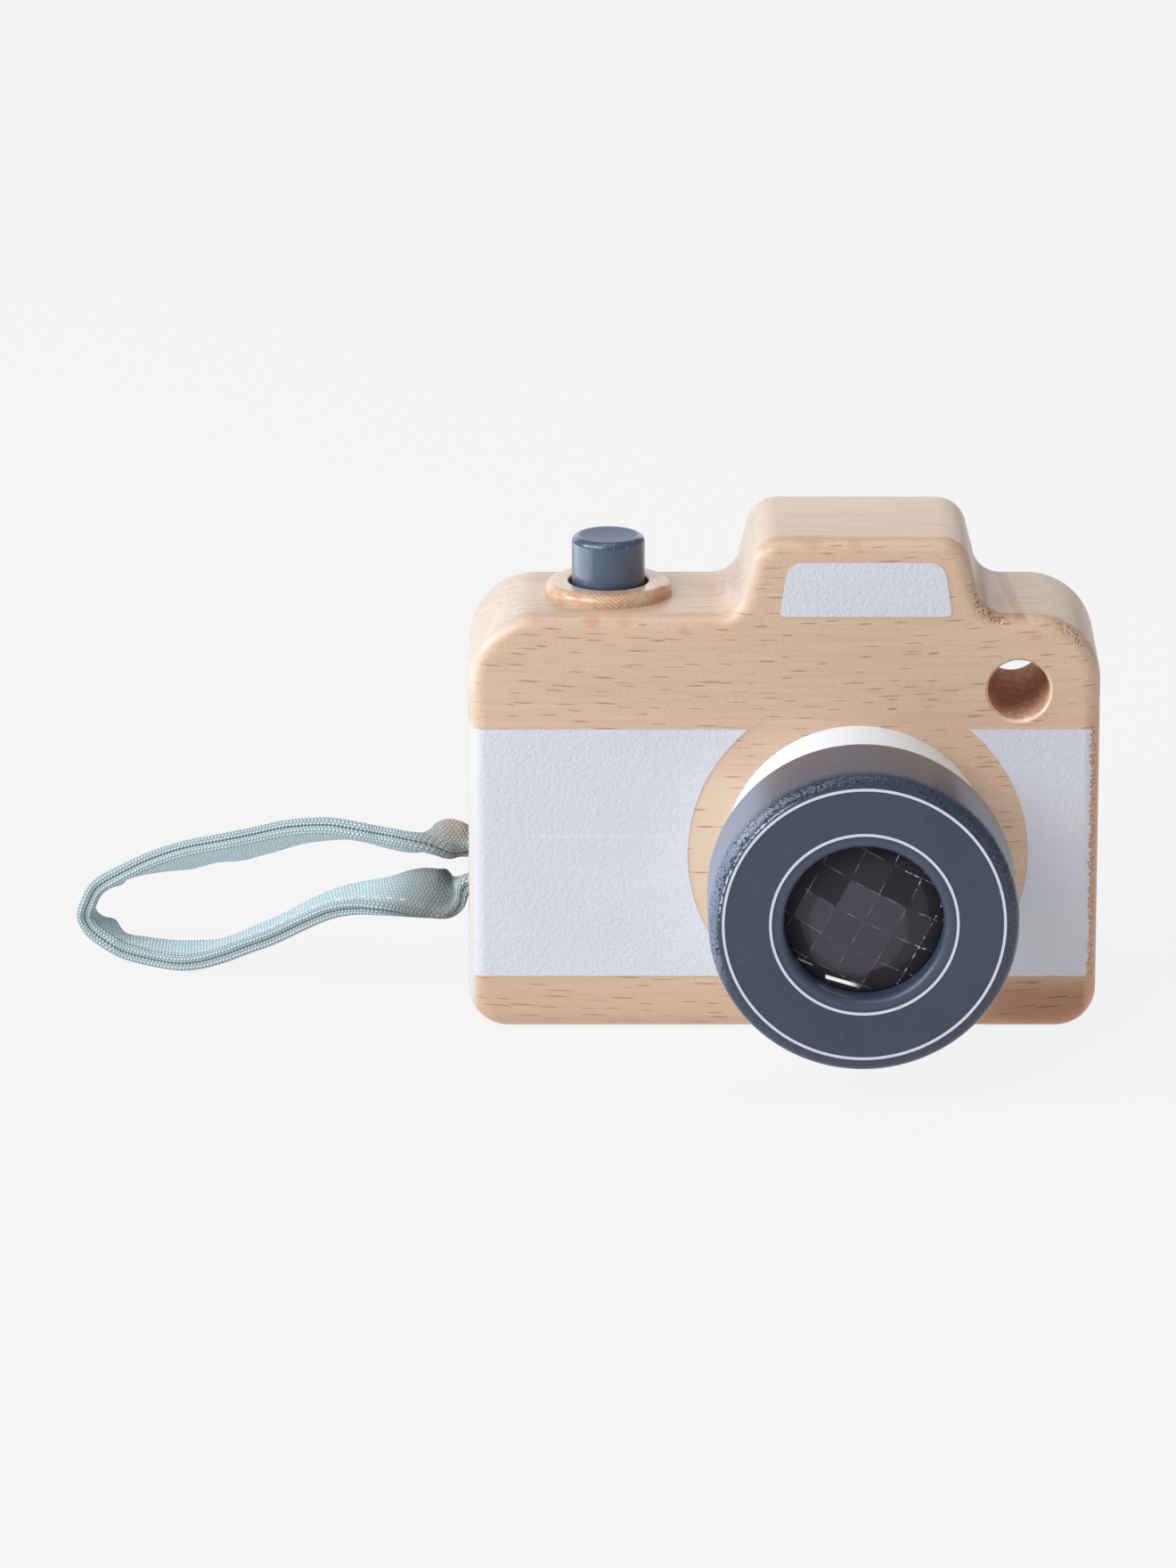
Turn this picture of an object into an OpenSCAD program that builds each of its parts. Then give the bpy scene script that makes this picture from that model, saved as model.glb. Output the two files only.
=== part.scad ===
// Wooden toy camera: a beech block with printed panels, a turning ring that holds a faceted lens,
// a sprung shutter button in a turned collar and a folded canvas wrist strap.
// The lens looks along -Y, +Z is up, and the origin is the middle of the base.

/* [Body] */
// Width of the block
body_w = 110; // [100:1:130]
// Depth of the block, front to back
body_d = 31.5; // [30:0.5:40]
// Height of the shoulders beside the hump
shoulder_h = 75.3; // [72:0.1:90]
// How far the hump rises above the shoulders
hump_rise = 13.7; // [11:0.1:20]
// Width of the hump at its foot, before its fillets
hump_foot_w = 43.2; // [40:0.1:50]
// Width of the hump at its top, before its corners
hump_top_w = 36.3; // [32:0.1:40]
// Radius of the two bottom corners
base_corner_r = 7; // [4:0.5:10]
// Radius of the two shoulder corners
shoulder_corner_r = 12; // [8:0.5:16]
// Radius of the hump's top corners
hump_corner_r = 5.5; // [4:0.5:7]
// Radius of the hollow fillets at the hump's foot
hump_fillet_r = 5; // [3:0.5:7]
// Rounding of the front and back edges
edge_r = 3; // [1:0.25:3.5]

/* [Viewfinder] */
// Radius of the hole to look through
finder_r = 5.4; // [4:0.1:6.5]
// Distance of the hole's middle from the block's right side
finder_inset = 14.25; // [12:0.25:15]
// Distance of the hole's middle below the shoulder
finder_drop = 13.3; // [11:0.1:15]
// Bevel on the hole's edges
finder_bevel = 0.4; // [0.2:0.1:0.8]

/* [Printed panels] */
// Height of the panels' lower edge above the base
band_low = 9.85; // [8:0.05:12]
// Height of the panels
band_h = 45.1; // [40:0.1:48]
// How far the left panel wraps over the rounded edge, in degrees
left_wrap = 42; // [10:1:60]
// How far the right panel wraps over the rounded edge, in degrees
right_wrap = 28; // [10:1:60]
// Width of the bare ring of wood between the neck and the panels
bare_ring_w = 6.4; // [4:0.1:8]
// Thickness of a printed film
film_t = 0.12; // [0.08:0.02:0.2]
// Width of the flash window along its sill
window_sill_w = 30; // [24:0.5:32]
// Width of the flash window along its top, before its corners
window_top_w = 27; // [20:0.2:28]
// Height of the flash window
window_h = 9.7; // [7:0.1:10]
// Place of the flash window to the right of the hump's middle
window_shift = 1.1; // [0:0.1:2]
// Radius of the window's upper corners
window_corner_r = 3; // [1:0.5:4]
// Radius of the window's lower corners
window_sill_r = 0.8; // [0.4:0.1:1.5]

/* [Lens] */
// Place of the lens axis, and of the hump's middle, to the right of the block's middle
lens_x = 13; // [6:0.1:14]
// Height of the lens axis above the base
lens_z = 32.3; // [30:0.1:36]
// Outer radius of the white neck
neck_r = 23.3; // [22:0.1:25]
// Length of the white neck in front of the block
neck_len = 21.2; // [16:0.1:26]
// How deep the neck's spigot sits in the block
spigot_depth = 2; // [1:0.25:3]
// Outer radius of the lens ring
ring_r = 26.6; // [26:0.1:28]
// Length of the lens ring
ring_len = 18.9; // [16:0.1:24]
// Gap between the neck and the lens ring
ring_gap = 0.3; // [0.2:0.05:0.6]
// Rounding of the ring's front edge
ring_edge_r = 2.2; // [1:0.1:2.4]
// Rounding of the ring's back edge
ring_back_r = 0.5; // [0.3:0.1:1]
// Radius of the opening in the ring's front
window_r = 13.65; // [12:0.05:14]
// Rounding of the opening's lip
lip_r = 1.2; // [0.5:0.1:2]
// Thickness of the lip that holds the lens from the front
lip_t = 6; // [5:0.1:7]
// Radius of the middle of the outer white line
outer_line_r = 24.06; // [23:0.02:24.1]
// Radius of the middle of the inner white line
inner_line_r = 16.02; // [15.5:0.02:18]
// Width of each white line
line_w = 0.46; // [0.3:0.02:0.6]

/* [Turning sleeve] */
// Outer radius of the sleeve that turns in the neck
sleeve_r = 15.4; // [15:0.1:16]
// Radius of the sleeve's bore
sleeve_bore_r = 12.6; // [11:0.1:13]
// Radius of the flange that keeps the sleeve in the block
flange_r = 19.6; // [18:0.1:20.5]
// Thickness of that flange
flange_t = 4.2; // [3:0.1:6]
// Radius of the hole at the back to look through the lens
eyepiece_r = 10; // [8:0.1:12]
// Bevel on the eyepiece hole
eyepiece_bevel = 0.8; // [0.3:0.1:1.5]

/* [Faceted lens] */
// Thickness of the lens rim behind the ring's lip
rim_t = 2.4; // [1.5:0.1:4]
// Height of the lens from the front of its rim to its crown
crown_h = 4.2; // [3.5:0.1:4.6]
// Radius of the ball that every facet touches
facet_ball_r = 32; // [26:1:40]
// Distance between the rows of facets
facet_pitch = 5.4; // [4.5:0.1:7]
// Turn of the facet rows about the lens axis, in degrees
facet_turn = -28; // [-45:1:45]

/* [Shutter button] */
// Distance of the button's middle from the block's left side
button_inset = 24.45; // [22:0.05:28]
// Radius of the button
button_r = 6.4; // [5.5:0.1:6.7]
// Height of the button above the shoulder
button_h = 10.5; // [9:0.1:13]
// Rounding of the button's top edge
button_edge_r = 1.3; // [0.6:0.1:2]
// Depth of the hollow in the button's top
button_dish = 0.3; // [0.1:0.05:0.5]
// How far the button travels
button_travel = 5; // [3:0.1:5.5]
// Gap between the button and its collar
collar_gap = 0.6; // [0.3:0.05:0.7]
// Radius of the collar
collar_r = 11.15; // [10.5:0.05:11.5]
// Height of the collar above the shoulder
collar_h = 2.3; // [1.8:0.1:3]
// Rounding of the collar's outer edge
collar_edge_r = 1.6; // [0.8:0.1:1.7]
// Radius of the pocket under the collar
button_pocket_r = 9.4; // [9:0.1:10]
// Depth of the collar's spigot in the pocket
collar_spigot = 2.5; // [1.5:0.1:3.5]
// Thickness of the flange at the button's foot
foot_t = 2.5; // [1.5:0.1:3.5]
// Length of the spring with the button up
spring_len = 10.8; // [9.5:0.1:13]
// Radius of the spring's coils at the middle of the wire
spring_r = 4.6; // [4.2:0.1:5.5]
// Thickness of the spring's wire
spring_wire = 0.8; // [0.6:0.1:1]
// Turns of the spring
spring_turns = 5.5; // [4:0.5:6]
// Radius of the stem that guides the spring
stem_r = 3.2; // [2:0.1:3.5]

/* [Strap] */
// Width of the folded tape
tape_w = 9; // [8:0.1:9.4]
// Thickness of the folded tape
tape_t = 2.6; // [2:0.1:2.8]
// Depth of the groove between the tape's two layers, along its near edge
seam_depth = 0.6; // [0.2:0.1:1]
// Height of the strap's hole above the base
strap_z = 26; // [25:0.1:27]
// Radius of the strap's hole
strap_hole_r = 6.7; // [6.7:0.1:7.4]
// Depth of the strap's hole
strap_hole_depth = 16; // [14:0.5:20]
// Bevel on the mouth of the strap's hole
strap_bevel = 1.2; // [0.4:0.1:2]
// Thickness of the peg between its flats
peg_t = 4.4; // [4:0.1:5]
// Depth of the peg's outer end inside the hole
peg_sunk = 2; // [1:0.5:4]
// Length of the peg
peg_len = 12; // [8:0.5:13]

/* [Hidden] */
$fn = 96;

// Clearances and the overrun of every cut
running_fit = 0.1;
glue_gap = 0.05;
end_play = 0.15;
flange_room = 0.4;
overrun = 1;

// Counts
corner_steps = 12;
edge_steps = 6;
facet_rows = 3;
wire_sides = 6;
wire_rings_per_turn = 12;
dish_sides = 360;

// Body
front_y = -body_d / 2;
half_w = body_w / 2;
hump_h = shoulder_h + hump_rise;
body_corners = [
    [-half_w, 0], [half_w, 0], [half_w, shoulder_h],
    [lens_x + hump_foot_w / 2, shoulder_h], [lens_x + hump_top_w / 2, hump_h],
    [lens_x - hump_top_w / 2, hump_h], [lens_x - hump_foot_w / 2, shoulder_h],
    [-half_w, shoulder_h]];
body_radii = [base_corner_r, base_corner_r, shoulder_corner_r, hump_fillet_r,
              hump_corner_r, hump_corner_r, hump_fillet_r, shoulder_corner_r];
finder_x = half_w - finder_inset;
finder_z = shoulder_h - finder_drop;

// Printed panels
bare_r = neck_r + bare_ring_w;
window_x = lens_x + window_shift;
window_corners = [
    [window_x - window_sill_w / 2, shoulder_h], [window_x + window_sill_w / 2, shoulder_h],
    [window_x + window_top_w / 2, shoulder_h + window_h],
    [window_x - window_top_w / 2, shoulder_h + window_h]];
window_radii = [window_sill_r, window_sill_r, window_corner_r, window_corner_r];

// Lens, measured forwards from the block's front
neck_bore_r = sleeve_r + running_fit;
lens_pocket_r = flange_r + flange_room;
lens_pocket_depth = spigot_depth + flange_t + 2 * end_play;
ring_back = neck_len + ring_gap;
ring_front = ring_back + ring_len;
rim_front = ring_front - lip_t;
rim_back = rim_front - rim_t;
ring_bore_r = sleeve_r + glue_gap;
rim_r = ring_bore_r - running_fit;
crown_r = window_r - 2 * running_fit;
crown_top = rim_front + crown_h;
facet_block = 2 * facet_ball_r;
facet_span = crown_r + facet_pitch / 2;
facet_middle_share = 0.5;
// Middles of the facets across the lens axis, in square rows
facets = [
    for (row = [-facet_rows : facet_rows - 1], column = [-facet_rows : facet_rows - 1])
        let (middle = facet_pitch * [row + facet_middle_share, column + facet_middle_share])
            if (norm(middle) < facet_span) middle];

// Shutter button, measured upwards from the shoulder
button_x = -half_w + button_inset;
collar_bore_r = button_r + collar_gap;
foot_r = button_pocket_r - 2 * flange_room;
foot_top = -collar_spigot - end_play;
foot_low = foot_top - foot_t;
button_pocket_depth = spring_len - foot_low;
stem_len = spring_len - button_travel - 2 * overrun;
dish_reach = button_r - button_edge_r;
dish_ball_r = (dish_reach * dish_reach + button_dish * button_dish) / (2 * button_dish);

// Strap
peg_r = strap_hole_r - running_fit;
tail_rise = peg_t / 2 + running_fit + tape_t / 2;
upper_tail_z = strap_z + tail_rise;
lower_tail_z = strap_z - tail_rise;
tape_corner_share = 0.32;
tape_shoulder_share = 0.25;
tape_bevel = tape_t * tape_corner_share;
tape_shoulder = tape_t * tape_shoulder_share;
tape_section = [
    [tape_w / 2, tape_shoulder], [tape_w / 2 - tape_bevel, tape_t / 2],
    [-tape_w / 2 + tape_bevel, tape_t / 2], [-tape_w / 2, tape_shoulder],
    [-tape_w / 2 + seam_depth, 0], [-tape_w / 2, -tape_shoulder],
    [-tape_w / 2 + tape_bevel, -tape_t / 2],
    [tape_w / 2 - tape_bevel, -tape_t / 2], [tape_w / 2, -tape_shoulder]];
seam_point = 4;
// Direction across the tape where it isn't tilted: to the rear, and a little to the right
tape_across = [0.4, 0.92, 0];
// Middle line of the strap from tail to tail: x, y, z and the tilt of its far edge into the loop, in degrees
strap_route = [
    [-42, 0, upper_tail_z, 0], [-51.5, 0, upper_tail_z, 0], [-53.4, 0, 29.7, -4], [-55.5, 0, 30, -32],
    [-57.5, 0, 30.3, -32], [-60, 0, 30.2, 0], [-63, 0.5, 29.4, 32], [-66.5, 2, 28.9, 28], [-70.5, 4, 29, 28],
    [-74.5, 5.5, 29.5, 26], [-79, 7.5, 29.5, 26], [-85.5, 10.5, 28, 28], [-92, 13.5, 25.5, 30],
    [-98, 16, 23.5, 30], [-104, 19, 21.5, 28], [-110, 22, 19, 22], [-115.5, 24.5, 16.5, 10],
    [-120.7, 27, 13.9, -6], [-123.3, 28, 10.8, -18], [-124.3, 28.5, 7.6, -22], [-122.8, 28, 4.6, -20],
    [-119, 26.5, 2.5, -14], [-115, 25, 1.7, -4], [-107, 21, 1.6, 2], [-102.5, 19, 2.5, 4],
    [-98, 17, 4.5, 6], [-93.5, 15, 7, 8], [-89, 13, 9.5, 10], [-83, 10, 13.5, 12], [-78.5, 8, 16, 12],
    [-74, 6, 17.5, 14], [-70, 4, 18.5, 24], [-66, 2.5, 19.4, 44], [-62.5, 1, 19.9, 62], [-60, 0.3, 19.9, 68],
    [-57.6, 0, 20.4, 40], [-55.5, 0, 21.9, 6], [-53.4, 0, 22.4, 0], [-51.5, 0, lower_tail_z, 0],
    [-42, 0, lower_tail_z, 0]];

// An angle brought between half a turn each way
function turn(a) = a > 180 ? a - 360 : a <= -180 ? a + 360 : a;

function unit(v) = v / norm(v);

// Points of an outline, set in by an inset, whose corners are rounded by tangent arcs
function rounded_outline(corners, radii, inset = 0) = [
    for (i = [0 : len(corners) - 1])
        let (corner = corners[i],
             before = corner - corners[(i + len(corners) - 1) % len(corners)],
             after = corners[(i + 1) % len(corners)] - corner,
             start = atan2(before.y, before.x) - 90,
             swing = turn(atan2(after.y, after.x) - 90 - start),
             side_in = [cos(start), sin(start)],
             side_out = [cos(start + swing), sin(start + swing)],
             r = swing > 0 ? radii[i] : -radii[i],
             middle = corner - r * (side_in + side_out) / (1 + side_in * side_out))
            for (k = [0 : corner_steps])
                let (a = start + swing * k / corner_steps) middle + (r - inset) * [cos(a), sin(a)]];

// Triangles between rings of points that follow each other, each ring with the same count
function skin_faces(rings, count) = [
    for (j = [0 : rings - 2])
        for (i = [0 : count - 1])
            let (a = j * count + i, b = j * count + (i + 1) % count)
                each [[a, b, b + count], [a, b + count, a + count]]];

// A point halfway along a smooth curve between the middle two of four points
function halfway(a, b, c, d) = (9 * (b + c) - a - d) / 16;

// A route with one smooth point added in each of its steps
function smooth_route(route) = [
    for (i = [0 : len(route) - 1])
        each i == len(route) - 1 ? [route[i]]
            : [route[i],
               halfway(route[max(i - 1, 0)], route[i], route[i + 1], route[min(i + 2, len(route) - 1)])]];

// Places children with +Z forwards from the block's front
module on_front() {
    translate([0, front_y, 0]) rotate([90, 0, 0]) children();
}

module on_lens_axis() {
    on_front() translate([lens_x, lens_z, 0]) children();
}

// Places children with +Z upwards from the shoulder
module on_button_axis() {
    translate([button_x, 0, shoulder_h]) children();
}

// Places children with +Z out of the strap's hole
module on_strap_axis() {
    translate([-half_w, 0, strap_z]) rotate([0, -90, 0]) children();
}

// What to cut from a revolved section to round its outer corner at radius r and height z
module outer_corner(r, z, rounding) {
    translate([r - rounding, z - rounding]) difference() {
        square(rounding + overrun);
        circle(rounding);
    }
}

module inner_corner(r, z, rounding) {
    translate([r + rounding, z - rounding]) mirror([1, 0]) difference() {
        square(rounding + overrun);
        circle(rounding);
    }
}

// A hole of radius r from z = 0 down, with a bevelled mouth
module bevelled_hole(r, depth, bevel) {
    translate([0, 0, -depth]) cylinder(r = r, h = depth + overrun);
    translate([0, 0, -bevel]) cylinder(r1 = r, r2 = r + bevel + overrun, h = bevel + overrun);
}

// The block's skin: its outline swept from front to back, set in along both rounded edges
module block() {
    front_edge = [for (k = [0 : edge_steps])
        let (a = 90 * k / edge_steps) [edge_r * (1 - sin(a)), front_y + edge_r * (1 - cos(a))]];
    back_edge = [for (k = [0 : edge_steps]) let (e = front_edge[edge_steps - k]) [e[0], -e[1]]];
    stations = concat(front_edge, back_edge);
    rings = [for (s = stations)
        [for (p = rounded_outline(body_corners, body_radii, s[0])) [p.x, s[1], p.y]]];
    count = len(rings[0]);
    last = (len(rings) - 1) * count;
    hub = len(rings) * count;
    points = concat([for (ring = rings) each ring],
                    [[lens_x, front_y, shoulder_h / 2], [lens_x, -front_y, shoulder_h / 2]]);
    front_cap = [for (i = [0 : count - 1]) [hub, (i + 1) % count, i]];
    back_cap = [for (i = [0 : count - 1]) [hub + 1, last + i, last + (i + 1) % count]];
    polyhedron(points, concat(front_cap, skin_faces(len(rings), count), back_cap));
}

module body() {
    color("burlywood") difference() {
        block();
        // Seat of the neck's spigot and of the sleeve's flange
        on_lens_axis() translate([0, 0, -lens_pocket_depth])
            cylinder(r = lens_pocket_r, h = lens_pocket_depth + overrun);
        // Eyepiece at the back
        translate([lens_x, -front_y, lens_z]) rotate([-90, 0, 0])
            bevelled_hole(eyepiece_r, body_d - lens_pocket_depth + overrun, eyepiece_bevel);
        // Viewfinder
        translate([finder_x, front_y, finder_z]) rotate([90, 0, 0])
            bevelled_hole(finder_r, body_d + overrun, finder_bevel);
        translate([finder_x, -front_y, finder_z]) rotate([-90, 0, 0])
            bevelled_hole(finder_r, finder_bevel + overrun, finder_bevel);
        // Pocket of the shutter button
        on_button_axis() translate([0, 0, -button_pocket_depth])
            cylinder(r = button_pocket_r, h = button_pocket_depth + overrun);
        // Hole of the strap
        on_strap_axis() bevelled_hole(strap_hole_r, strap_hole_depth, strap_bevel);
    }
}

// A printed film from near the middle out to the right side, wrapped over the rounded edge
module band(inner_x, wrap) {
    flat_w = half_w - edge_r;
    translate([0, 0, band_low]) union() {
        translate([inner_x, front_y - film_t, 0]) cube([flat_w - inner_x, film_t, band_h]);
        translate([flat_w, front_y + edge_r, 0]) rotate([0, 0, -90])
            rotate_extrude(angle = wrap) translate([edge_r, 0]) square([film_t, band_h]);
    }
}

module bare_ring() {
    on_lens_axis() translate([0, 0, -overrun]) cylinder(r = bare_r, h = film_t + 2 * overrun);
}

module band_left() {
    color("lavender") difference() {
        mirror([1, 0, 0]) band(-lens_x, left_wrap);
        bare_ring();
    }
}

module band_right() {
    color("lavender") difference() {
        band(lens_x, right_wrap);
        bare_ring();
    }
}

module flash_window() {
    color("lavender") on_front() linear_extrude(film_t)
        polygon(rounded_outline(window_corners, window_radii));
}

module button_collar() {
    color("burlywood") on_button_axis() rotate_extrude() difference() {
        union() {
            translate([collar_bore_r, 0]) square([collar_r - collar_bore_r, collar_h]);
            translate([collar_bore_r, -collar_spigot])
                square([button_pocket_r - glue_gap - collar_bore_r, collar_spigot]);
        }
        outer_corner(collar_r, collar_h, collar_edge_r);
    }
}

module shutter_button() {
    color("slategray") on_button_axis() rotate_extrude() difference() {
        union() {
            translate([0, foot_low]) square([button_r, button_h - foot_low]);
            translate([0, foot_low]) square([foot_r, foot_t]);
            translate([0, foot_low - stem_len]) square([stem_r, stem_len]);
        }
        outer_corner(button_r, button_h, button_edge_r);
        // Shallow hollow for a fingertip
        intersection() {
            translate([0, button_h + dish_ball_r - button_dish]) circle(dish_ball_r, $fn = dish_sides);
            translate([0, button_h - button_edge_r]) square(2 * button_r);
        }
    }
}

// One unbroken wire, from the floor of the pocket to the button's foot
module button_spring() {
    rings = spring_turns * wire_rings_per_turn;
    low = -button_pocket_depth + spring_wire / 2 + glue_gap;
    rise = spring_len - spring_wire - 2 * glue_gap;
    wire = [for (k = [0 : rings]) let (a = 360 * k / wire_rings_per_turn)
        for (s = [0 : wire_sides - 1]) let (b = 360 * s / wire_sides)
            let (r = spring_r + spring_wire / 2 * cos(b))
                [r * cos(a), r * sin(a), low + rise * k / rings + spring_wire / 2 * sin(b)]];
    first_end = [for (s = [wire_sides - 1 : -1 : 0]) s];
    last_end = [for (s = [0 : wire_sides - 1]) rings * wire_sides + s];
    echo(gap_between_spring_turns = rise / spring_turns - spring_wire);
    color("silver") on_button_axis()
        polyhedron(wire, concat([first_end], skin_faces(rings + 1, wire_sides), [last_end]));
}

// White turned neck, glued in the block's pocket by its spigot
module neck_ring() {
    color("white") on_lens_axis() rotate_extrude() union() {
        translate([neck_bore_r, 0]) square([neck_r - neck_bore_r, neck_len]);
        translate([neck_bore_r, -spigot_depth])
            square([lens_pocket_r - glue_gap - neck_bore_r, spigot_depth]);
    }
}

// Beech tube that turns in the neck; its flange is trapped behind the neck's spigot
module lens_sleeve() {
    flange_front = -spigot_depth - end_play;
    color("burlywood") on_lens_axis() rotate_extrude() union() {
        translate([sleeve_bore_r, flange_front])
            square([sleeve_r - sleeve_bore_r, rim_back - flange_front]);
        translate([sleeve_bore_r, flange_front - flange_t]) square([flange_r - sleeve_bore_r, flange_t]);
    }
}

// Ring to turn by hand, glued over the sleeve's nose
module lens_ring() {
    color("darkslategray") on_lens_axis() rotate_extrude() difference() {
        translate([window_r, ring_back]) square([ring_r - window_r, ring_len]);
        translate([0, ring_back - overrun]) square([ring_bore_r, rim_front - ring_back + overrun]);
        outer_corner(ring_r, ring_front, ring_edge_r);
        inner_corner(window_r, ring_front, lip_r);
        translate([0, 2 * ring_back]) mirror([0, 1]) outer_corner(ring_r, ring_back, ring_back_r);
    }
}

// The lens crown with its first facets cut, each a flat that touches one ball
module cut_crown(cuts) {
    if (cuts == 0) {
        translate([0, 0, rim_back]) cylinder(r = crown_r, h = rim_t + crown_h + overrun);
    } else {
        difference() {
            cut_crown(cuts - 1);
            translate([0, 0, crown_top - facet_ball_r])
                rotate([0, asin(norm(facets[cuts - 1]) / facet_ball_r),
                        facet_turn + atan2(facets[cuts - 1].y, facets[cuts - 1].x)])
                    translate([-facet_block / 2, -facet_block / 2, facet_ball_r]) cube(facet_block);
        }
    }
}

// Clear lens with a plain rim behind the ring's lip and a domed crown cut in rows of facets
module faceted_lens() {
    color("dimgray") on_lens_axis() union() {
        translate([0, 0, rim_back]) cylinder(r = rim_r, h = rim_t);
        cut_crown(len(facets));
    }
}

// A thin printed ring on the front of the lens ring
module ring_line(r) {
    color("white") on_lens_axis() translate([0, 0, ring_front]) rotate_extrude()
        translate([r - line_w / 2, 0]) square([line_w, film_t]);
}

module outer_ring_line() {
    ring_line(outer_line_r);
}

module inner_ring_line() {
    ring_line(inner_line_r);
}

// Dowel with two flats that pinch the strap's tails in the hole
module strap_peg() {
    color("burlywood") on_strap_axis() translate([0, 0, -peg_sunk - peg_len]) intersection() {
        cylinder(r = peg_r, h = peg_len);
        translate([-peg_t / 2, -strap_hole_r, -overrun])
            cube([peg_t, 2 * strap_hole_r, peg_len + 2 * overrun]);
    }
}

// Folded tape along the route, tilted as it goes
module wrist_strap() {
    stops = smooth_route(strap_route);
    places = [for (s = stops) [s[0], s[1], s[2]]];
    end = len(places) - 1;
    rings = [for (i = [0 : end])
        let (along = unit(places[min(i + 1, end)] - places[max(i - 1, 0)]),
             level = unit(tape_across - along * (along * tape_across)),
             inward = cross(along, level),
             across = cos(stops[i][3]) * level + sin(stops[i][3]) * inward,
             up = cross(across, along))
            [for (p = tape_section) places[i] + across * p[0] + up * p[1]]];
    count = len(tape_section);
    // Both ends are fans of triangles round the groove
    fan = [for (i = [1 : count - 2]) [seam_point, (seam_point + i) % count, (seam_point + i + 1) % count]];
    first_end = [for (f = fan) [f[0], f[2], f[1]]];
    last_end = [for (f = fan) [for (i = f) end * count + i]];
    color("powderblue") polyhedron([for (ring = rings) each ring],
                                   concat(first_end, skin_faces(end + 1, count), last_end));
}

body();
band_left();
band_right();
flash_window();
button_collar();
shutter_button();
button_spring();
neck_ring();
lens_sleeve();
lens_ring();
faceted_lens();
outer_ring_line();
inner_ring_line();
strap_peg();
wrist_strap();
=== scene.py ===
import math

import bmesh
import bpy
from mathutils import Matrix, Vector, noise


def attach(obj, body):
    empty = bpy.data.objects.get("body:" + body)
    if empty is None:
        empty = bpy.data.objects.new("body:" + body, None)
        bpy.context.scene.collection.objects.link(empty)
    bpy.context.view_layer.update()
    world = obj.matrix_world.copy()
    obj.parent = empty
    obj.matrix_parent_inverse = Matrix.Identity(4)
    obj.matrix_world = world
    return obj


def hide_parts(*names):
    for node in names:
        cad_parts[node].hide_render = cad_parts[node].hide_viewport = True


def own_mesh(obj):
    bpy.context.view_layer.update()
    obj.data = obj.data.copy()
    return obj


# Looks of the wooden toy camera, in metres in the part's own frame
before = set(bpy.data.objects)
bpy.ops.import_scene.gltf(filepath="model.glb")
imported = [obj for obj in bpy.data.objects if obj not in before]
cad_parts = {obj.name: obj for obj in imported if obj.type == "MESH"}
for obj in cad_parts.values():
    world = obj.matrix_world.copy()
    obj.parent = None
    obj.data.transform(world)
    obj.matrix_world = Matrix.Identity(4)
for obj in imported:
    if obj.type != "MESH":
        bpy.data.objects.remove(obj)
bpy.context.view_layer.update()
scene = bpy.context.scene
mm = 0.001

# Places and sizes that several pieces share, in millimetres
halfW = 55.0
depth = 31.5
frontY = -depth / 2
edgeR = 3.0
shoulderH = 75.3
shoulderR = 12.0
humpH = 89.0
humpFoot = 21.6
humpHalf = 18.15
lensX = 13.0
lensZ = 32.3
buttonX = -30.55
finderX = 40.75
finderZ = 62.0
finderR = 5.4
strapZ = 26.0

photoView = {
    "place": (-0.0341, -1.55565, 0.5177), "tilt": 72.936, "lens": 212.3, "sensor": 36, "nearest": 0.05,
    "farthest": 50}


def makeCamera():
    data = bpy.data.cameras.new("photoCamera")
    data.sensor_width = photoView["sensor"]
    data.lens = photoView["lens"]
    data.clip_start = photoView["nearest"]
    data.clip_end = photoView["farthest"]
    camera = bpy.data.objects.new("photoCamera", data)
    camera.location = photoView["place"]
    camera.rotation_euler = (math.radians(photoView["tilt"]), 0, 0)
    scene.collection.objects.link(camera)
    scene.camera = camera


class Wire:
    # One output socket, with sums and products that add maths nodes
    def __init__(self, board, socket):
        self.board = board
        self.socket = socket

    def __add__(self, other):
        return self.board.maths("ADD", self, other)

    def __radd__(self, other):
        return self.board.maths("ADD", other, self)

    def __sub__(self, other):
        return self.board.maths("SUBTRACT", self, other)

    def __rsub__(self, other):
        return self.board.maths("SUBTRACT", other, self)

    def __mul__(self, other):
        return self.board.maths("MULTIPLY", self, other)

    def __truediv__(self, other):
        return self.board.maths("DIVIDE", self, other)


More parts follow.
